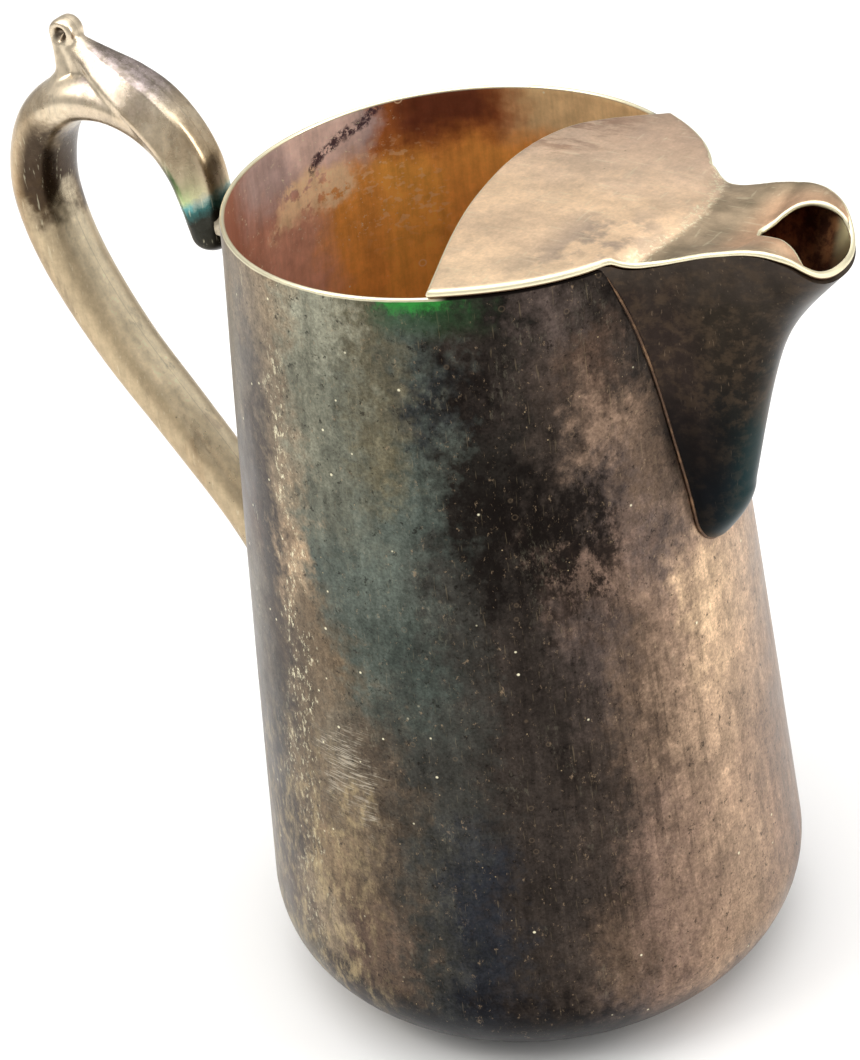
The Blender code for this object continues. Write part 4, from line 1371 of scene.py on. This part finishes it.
def handle_paint():
    """Rubbed bright metal: tan loop with painted highlight and dark reflection, mauve arm, rainbow
    tarnish by the wall.
    """
    paint = Paint("bright_silver")
    cloud = paint.noise(7, detail=5, rough=0.6, shift=17)
    mottle = paint.noise(1.5, detail=6, rough=0.7, shift=27)
    grain = paint.noise(0.4, detail=3, rough=0.6, shift=37)
    lengthwise = paint.noise(1.0, (1.0, 1.0, 0.14), detail=4, rough=0.6, shift=47)
    height = paint.z + cloud.swing(-5, 5)
    # Tan metal, lighter round 74 mm where a painted highlight is mixed in, darker round 104 mm where
    # painted dark reflection is.
    colour = height.ramp(30, 122, [
        (32, tone(206, 184, 152)), (44, tone(206, 182, 148)), (58, tone(208, 184, 148)),
        (74, tone(222, 200, 160)), (90, tone(190, 164, 128)), (104, tone(170, 142, 106)),
        (114, tone(206, 184, 152)), (121, tone(226, 210, 184)),
    ])
    upward = paint.facing_z.between(0.25, 0.75)
    arm = paint.x.between(-58, -54) * paint.z.between(104, 108)
    mauve = paint.mix(mottle.between(0.38, 0.62), tone(146, 134, 124), tone(178, 164, 160))
    colour = colour.coat(mauve, arm, upward, paint.x.band(-55, -43, 2))
    side = arm * paint.facing_z.between(0.35, -0.1)
    colour = colour.coat(tone(206, 188, 164), side, 0.8)

    # Outward side of the upper loop painted tan; under the bend its inner side gets a near-black painted
    # reflection.
    outward_side = paint.facing_x.between(-0.2, -0.8)
    colour = colour.coat(tone(182, 158, 122), outward_side, paint.z.between(112, 106), 0.6)
    hollow = paint.x.between(-54, -59) * paint.facing_x.between(-0.35, 0.25) * height.band(97, 116, 5)
    colour = colour.coat(tone(44, 34, 30), hollow, 0.92)
    # A painted highlight runs along the lower run's upper side, with painted shade on its flanks;
    # its last part by the wall is greener.
    painted_highlight = height.between(104, 96) * paint.facing_x.between(-0.45, 0.1)
    colour = colour.coat(tone(255, 238, 204), painted_highlight, 0.9)
    rosy = paint.noise(4, (1.0, 1.0, 0.2), detail=4, rough=0.6, shift=67).between(0.52, 0.62)
    low_inside = rosy * painted_highlight * height.between(76, 60) * 0.6
    colour = colour.coat(tone(150, 118, 98), low_inside)
    far_from_middle = paint.math("ABSOLUTE", paint.y + 0.6).between(1.3, 3.0)
    painted_flank_shade = far_from_middle * height.between(106, 96) * 0.7
    colour = colour.coat(tone(154, 130, 94), painted_flank_shade)
    by_wall = height.between(56, 46) * paint.facing_x.between(0.1, -0.4) * 0.5
    colour = colour.coat(tone(108, 112, 92), by_wall)

    # Rainbow tarnish at the arm's end: green, yellow-green, cyan, then teal-black.
    down = paint.z + paint.x * -0.5 + mottle.swing(-0.5, 0.5)
    near_wall = paint.x.between(-49, -44.5) * paint.z.between(90, 94)
    rainbow = down.ramp(118, 136, [
        (118, tone(20, 26, 26)), (123.4, tone(26, 36, 36)), (125.0, tone(40, 96, 96)),
        (126.0, tone(96, 160, 160)), (127.0, tone(170, 186, 134)), (128.8, tone(92, 112, 68)),
        (130.6, tone(60, 84, 52)), (133, tone(70, 92, 58)), (136, tone(150, 150, 120)),
    ])
    outer_face = (paint.facing_z + paint.facing_x).between(0.9, 0.2)
    share = near_wall * down.between(136, 130) * outer_face
    share = paint.math("MAXIMUM", share, near_wall * down.between(127.5, 124.5))
    colour = colour.coat(rainbow, paint.math("MINIMUM", share, 0.95))

    colour = colour.graded((cloud, 0.88, 1.10), (mottle, 0.86, 1.12), (lengthwise, 0.88, 1.1),
                           (grain, 0.94, 1.06))
    smear = paint.noise(3.0, (1.0, 1.0, 0.25), detail=6, rough=0.7, shift=57).between(0.56, 0.68)
    colour = colour.coat(UMBER, smear, 0.3)
    fine = paint.scratches((1.2, 1.2, 0.12), 0.4, 0.64, 0.71, shift=77)
    colour = colour.coat(CREAM, fine, 0.25)
    colour = colour.coat(UMBER, paint.specks(2.2, 0.14, 0.3, shift=34), 0.6)
    # Painted shade in the dimple at the scroll's eye.
    across = paint.x - SCROLL_EYE[0]
    climb = paint.z - SCROLL_EYE[1]
    from_eye = paint.math("SQRT", across * across + climb * climb)
    colour = colour.coat(tone(66, 52, 40), from_eye.between(1.25, 0.75), 0.85)
    hair = paint.math("ABSOLUTE", paint.y).between(0.1, 0.04)
    colour = colour.coat(UMBER, hair, 0.2)
    rough = 0.2 + cloud.swing(0.0, 0.14)
    rough = rough + painted_highlight * 0.06
    bump = mottle * 0.5 + grain * 0.3
    paint.put(paint.shader.inputs["Metallic"], painted_highlight.linear(0.0, 1.0, 1.0, 0.55))
    return paint.finish(colour, rough, bump, 0.025)


def boss_paint():
    """Greyed silver, darker where the stud meets the wall."""
    paint = Paint("boss_silver")
    cloud = paint.noise(2.0, detail=5, rough=0.65)
    mottle = paint.noise(0.6, detail=5, rough=0.7, shift=9)
    colour = paint.mix(cloud.between(0.4, 0.62), tone(196, 186, 164), tone(140, 126, 104))
    nearer = paint.x.between(-30.6, -29.6)
    colour = colour.coat(tone(60, 64, 60), nearer, 0.8)
    colour = colour.graded((mottle, 0.85, 1.15))
    return paint.finish(colour, cloud.swing(0.28, 0.42), mottle, 0.02)


def solder_paint():
    """Dull brown solder."""
    paint = Paint("solder_line")
    cloud = paint.noise(3.0, detail=5, rough=0.65)
    mottle = paint.noise(0.5, detail=5, rough=0.7, shift=9)
    colour = paint.mix(cloud.between(0.42, 0.6), tone(84, 66, 54), tone(122, 96, 74))
    colour = colour.graded((mottle, 0.8, 1.25))
    return paint.finish(colour, cloud.swing(0.34, 0.5), mottle, 0.03)


# ---------------------------------------------------------------- scene

def make_floor():
    bpy.ops.mesh.primitive_plane_add(size=6, location=(0, 0, -0.0001))
    floor = bpy.context.object
    floor.name = "floor"
    paint = bpy.data.materials.new("pale_floor")
    paint.use_nodes = True
    shader = paint.node_tree.nodes["Principled BSDF"]
    shader.inputs["Base Color"].default_value = (0.9, 0.9, 0.9, 1)
    shader.inputs["Roughness"].default_value = 0.7
    floor.data.materials.append(paint)


def area_light(name, place, size, power, colour=(1, 1, 1)):
    """A rectangular lamp turned towards the middle of the jug. Places and sizes are in metres."""
    data = bpy.data.lights.new(name, "AREA")
    data.shape = "RECTANGLE"
    data.size, data.size_y = size
    data.energy = power
    data.color = colour
    lamp = placed(name, data)
    lamp.location = place
    lamp.rotation_euler = (LIGHT_TARGET - Vector(place)).to_track_quat("-Z", "Y").to_euler()


def make_light():
    world = bpy.data.worlds.new("studio")
    world.use_nodes = True
    world.node_tree.nodes["Background"].inputs["Color"].default_value = (0.97, 0.955, 0.93, 1)
    world.node_tree.nodes["Background"].inputs["Strength"].default_value = 0.55
    bpy.context.scene.world = world
    area_light("overhead", (0.0, 0.0, 0.9), (1.2, 1.2), 9.0)
    area_light("key", (-0.5, -0.6, 0.8), (0.5, 0.5), 4.0, (1.0, 0.97, 0.92))
    area_light("side", (0.8, 0.25, 0.5), (0.3, 0.7), 3.0, (1.0, 0.985, 0.96))


def make_camera():
    data = bpy.data.cameras.new("camera")
    data.lens = LENS
    data.sensor_width = 36
    data.clip_start = 0.01
    data.clip_end = 50
    camera = placed("camera", data)
    yaw, level, roll = CAMERA_YAW, math.cos(CAMERA_PITCH), CAMERA_ROLL
    ahead = Vector((math.sin(yaw) * level, math.cos(yaw) * level, -math.sin(CAMERA_PITCH)))
    right = Vector((math.cos(yaw), -math.sin(yaw), 0))
    up = right.cross(ahead)
    tilted_right = math.cos(roll) * right + math.sin(roll) * up
    tilted_up = -math.sin(roll) * right + math.cos(roll) * up
    aim = Matrix((tilted_right, tilted_up, -ahead)).transposed().to_4x4()
    spin = Matrix.Rotation(CAMERA_TURN, 4, "Z")
    move = Matrix.Translation((0, -CAMERA_AWAY * MM, CAMERA_HEIGHT * MM))
    camera.matrix_world = spin @ move @ aim
    bpy.context.scene.camera = camera
    bpy.context.scene.view_settings.view_transform = "Standard"


def main():
    make_camera()
    make_light()
    make_floor()
    pieces = [
        (make_body(), body_paint(), "body_shell", "tarnished_plate"),
        (make_base(), base_paint(), "base_disc", "tarnished_plate"),
        (make_spout(), spout_paint(), "spout", "dark_plate"),
        (make_cover(), cover_paint(), "half_cover", "worn_plate"),
        (make_boss(), boss_paint(), "upper_boss", "bright_plate"),
        (make_spout_solder(), solder_paint(), None, "dark_plate"),
    ]
    left, right = make_handle()
    silver = handle_paint()
    pieces += [(left, silver, "handle_left_half", "bright_plate"),
               (right, silver, "handle_right_half", "bright_plate")]
    for piece, material, node, slot in pieces:
        piece.data.materials.clear()
        piece.data.materials.append(material)
        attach(piece, "root")
        if node:
            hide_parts(node)


main()
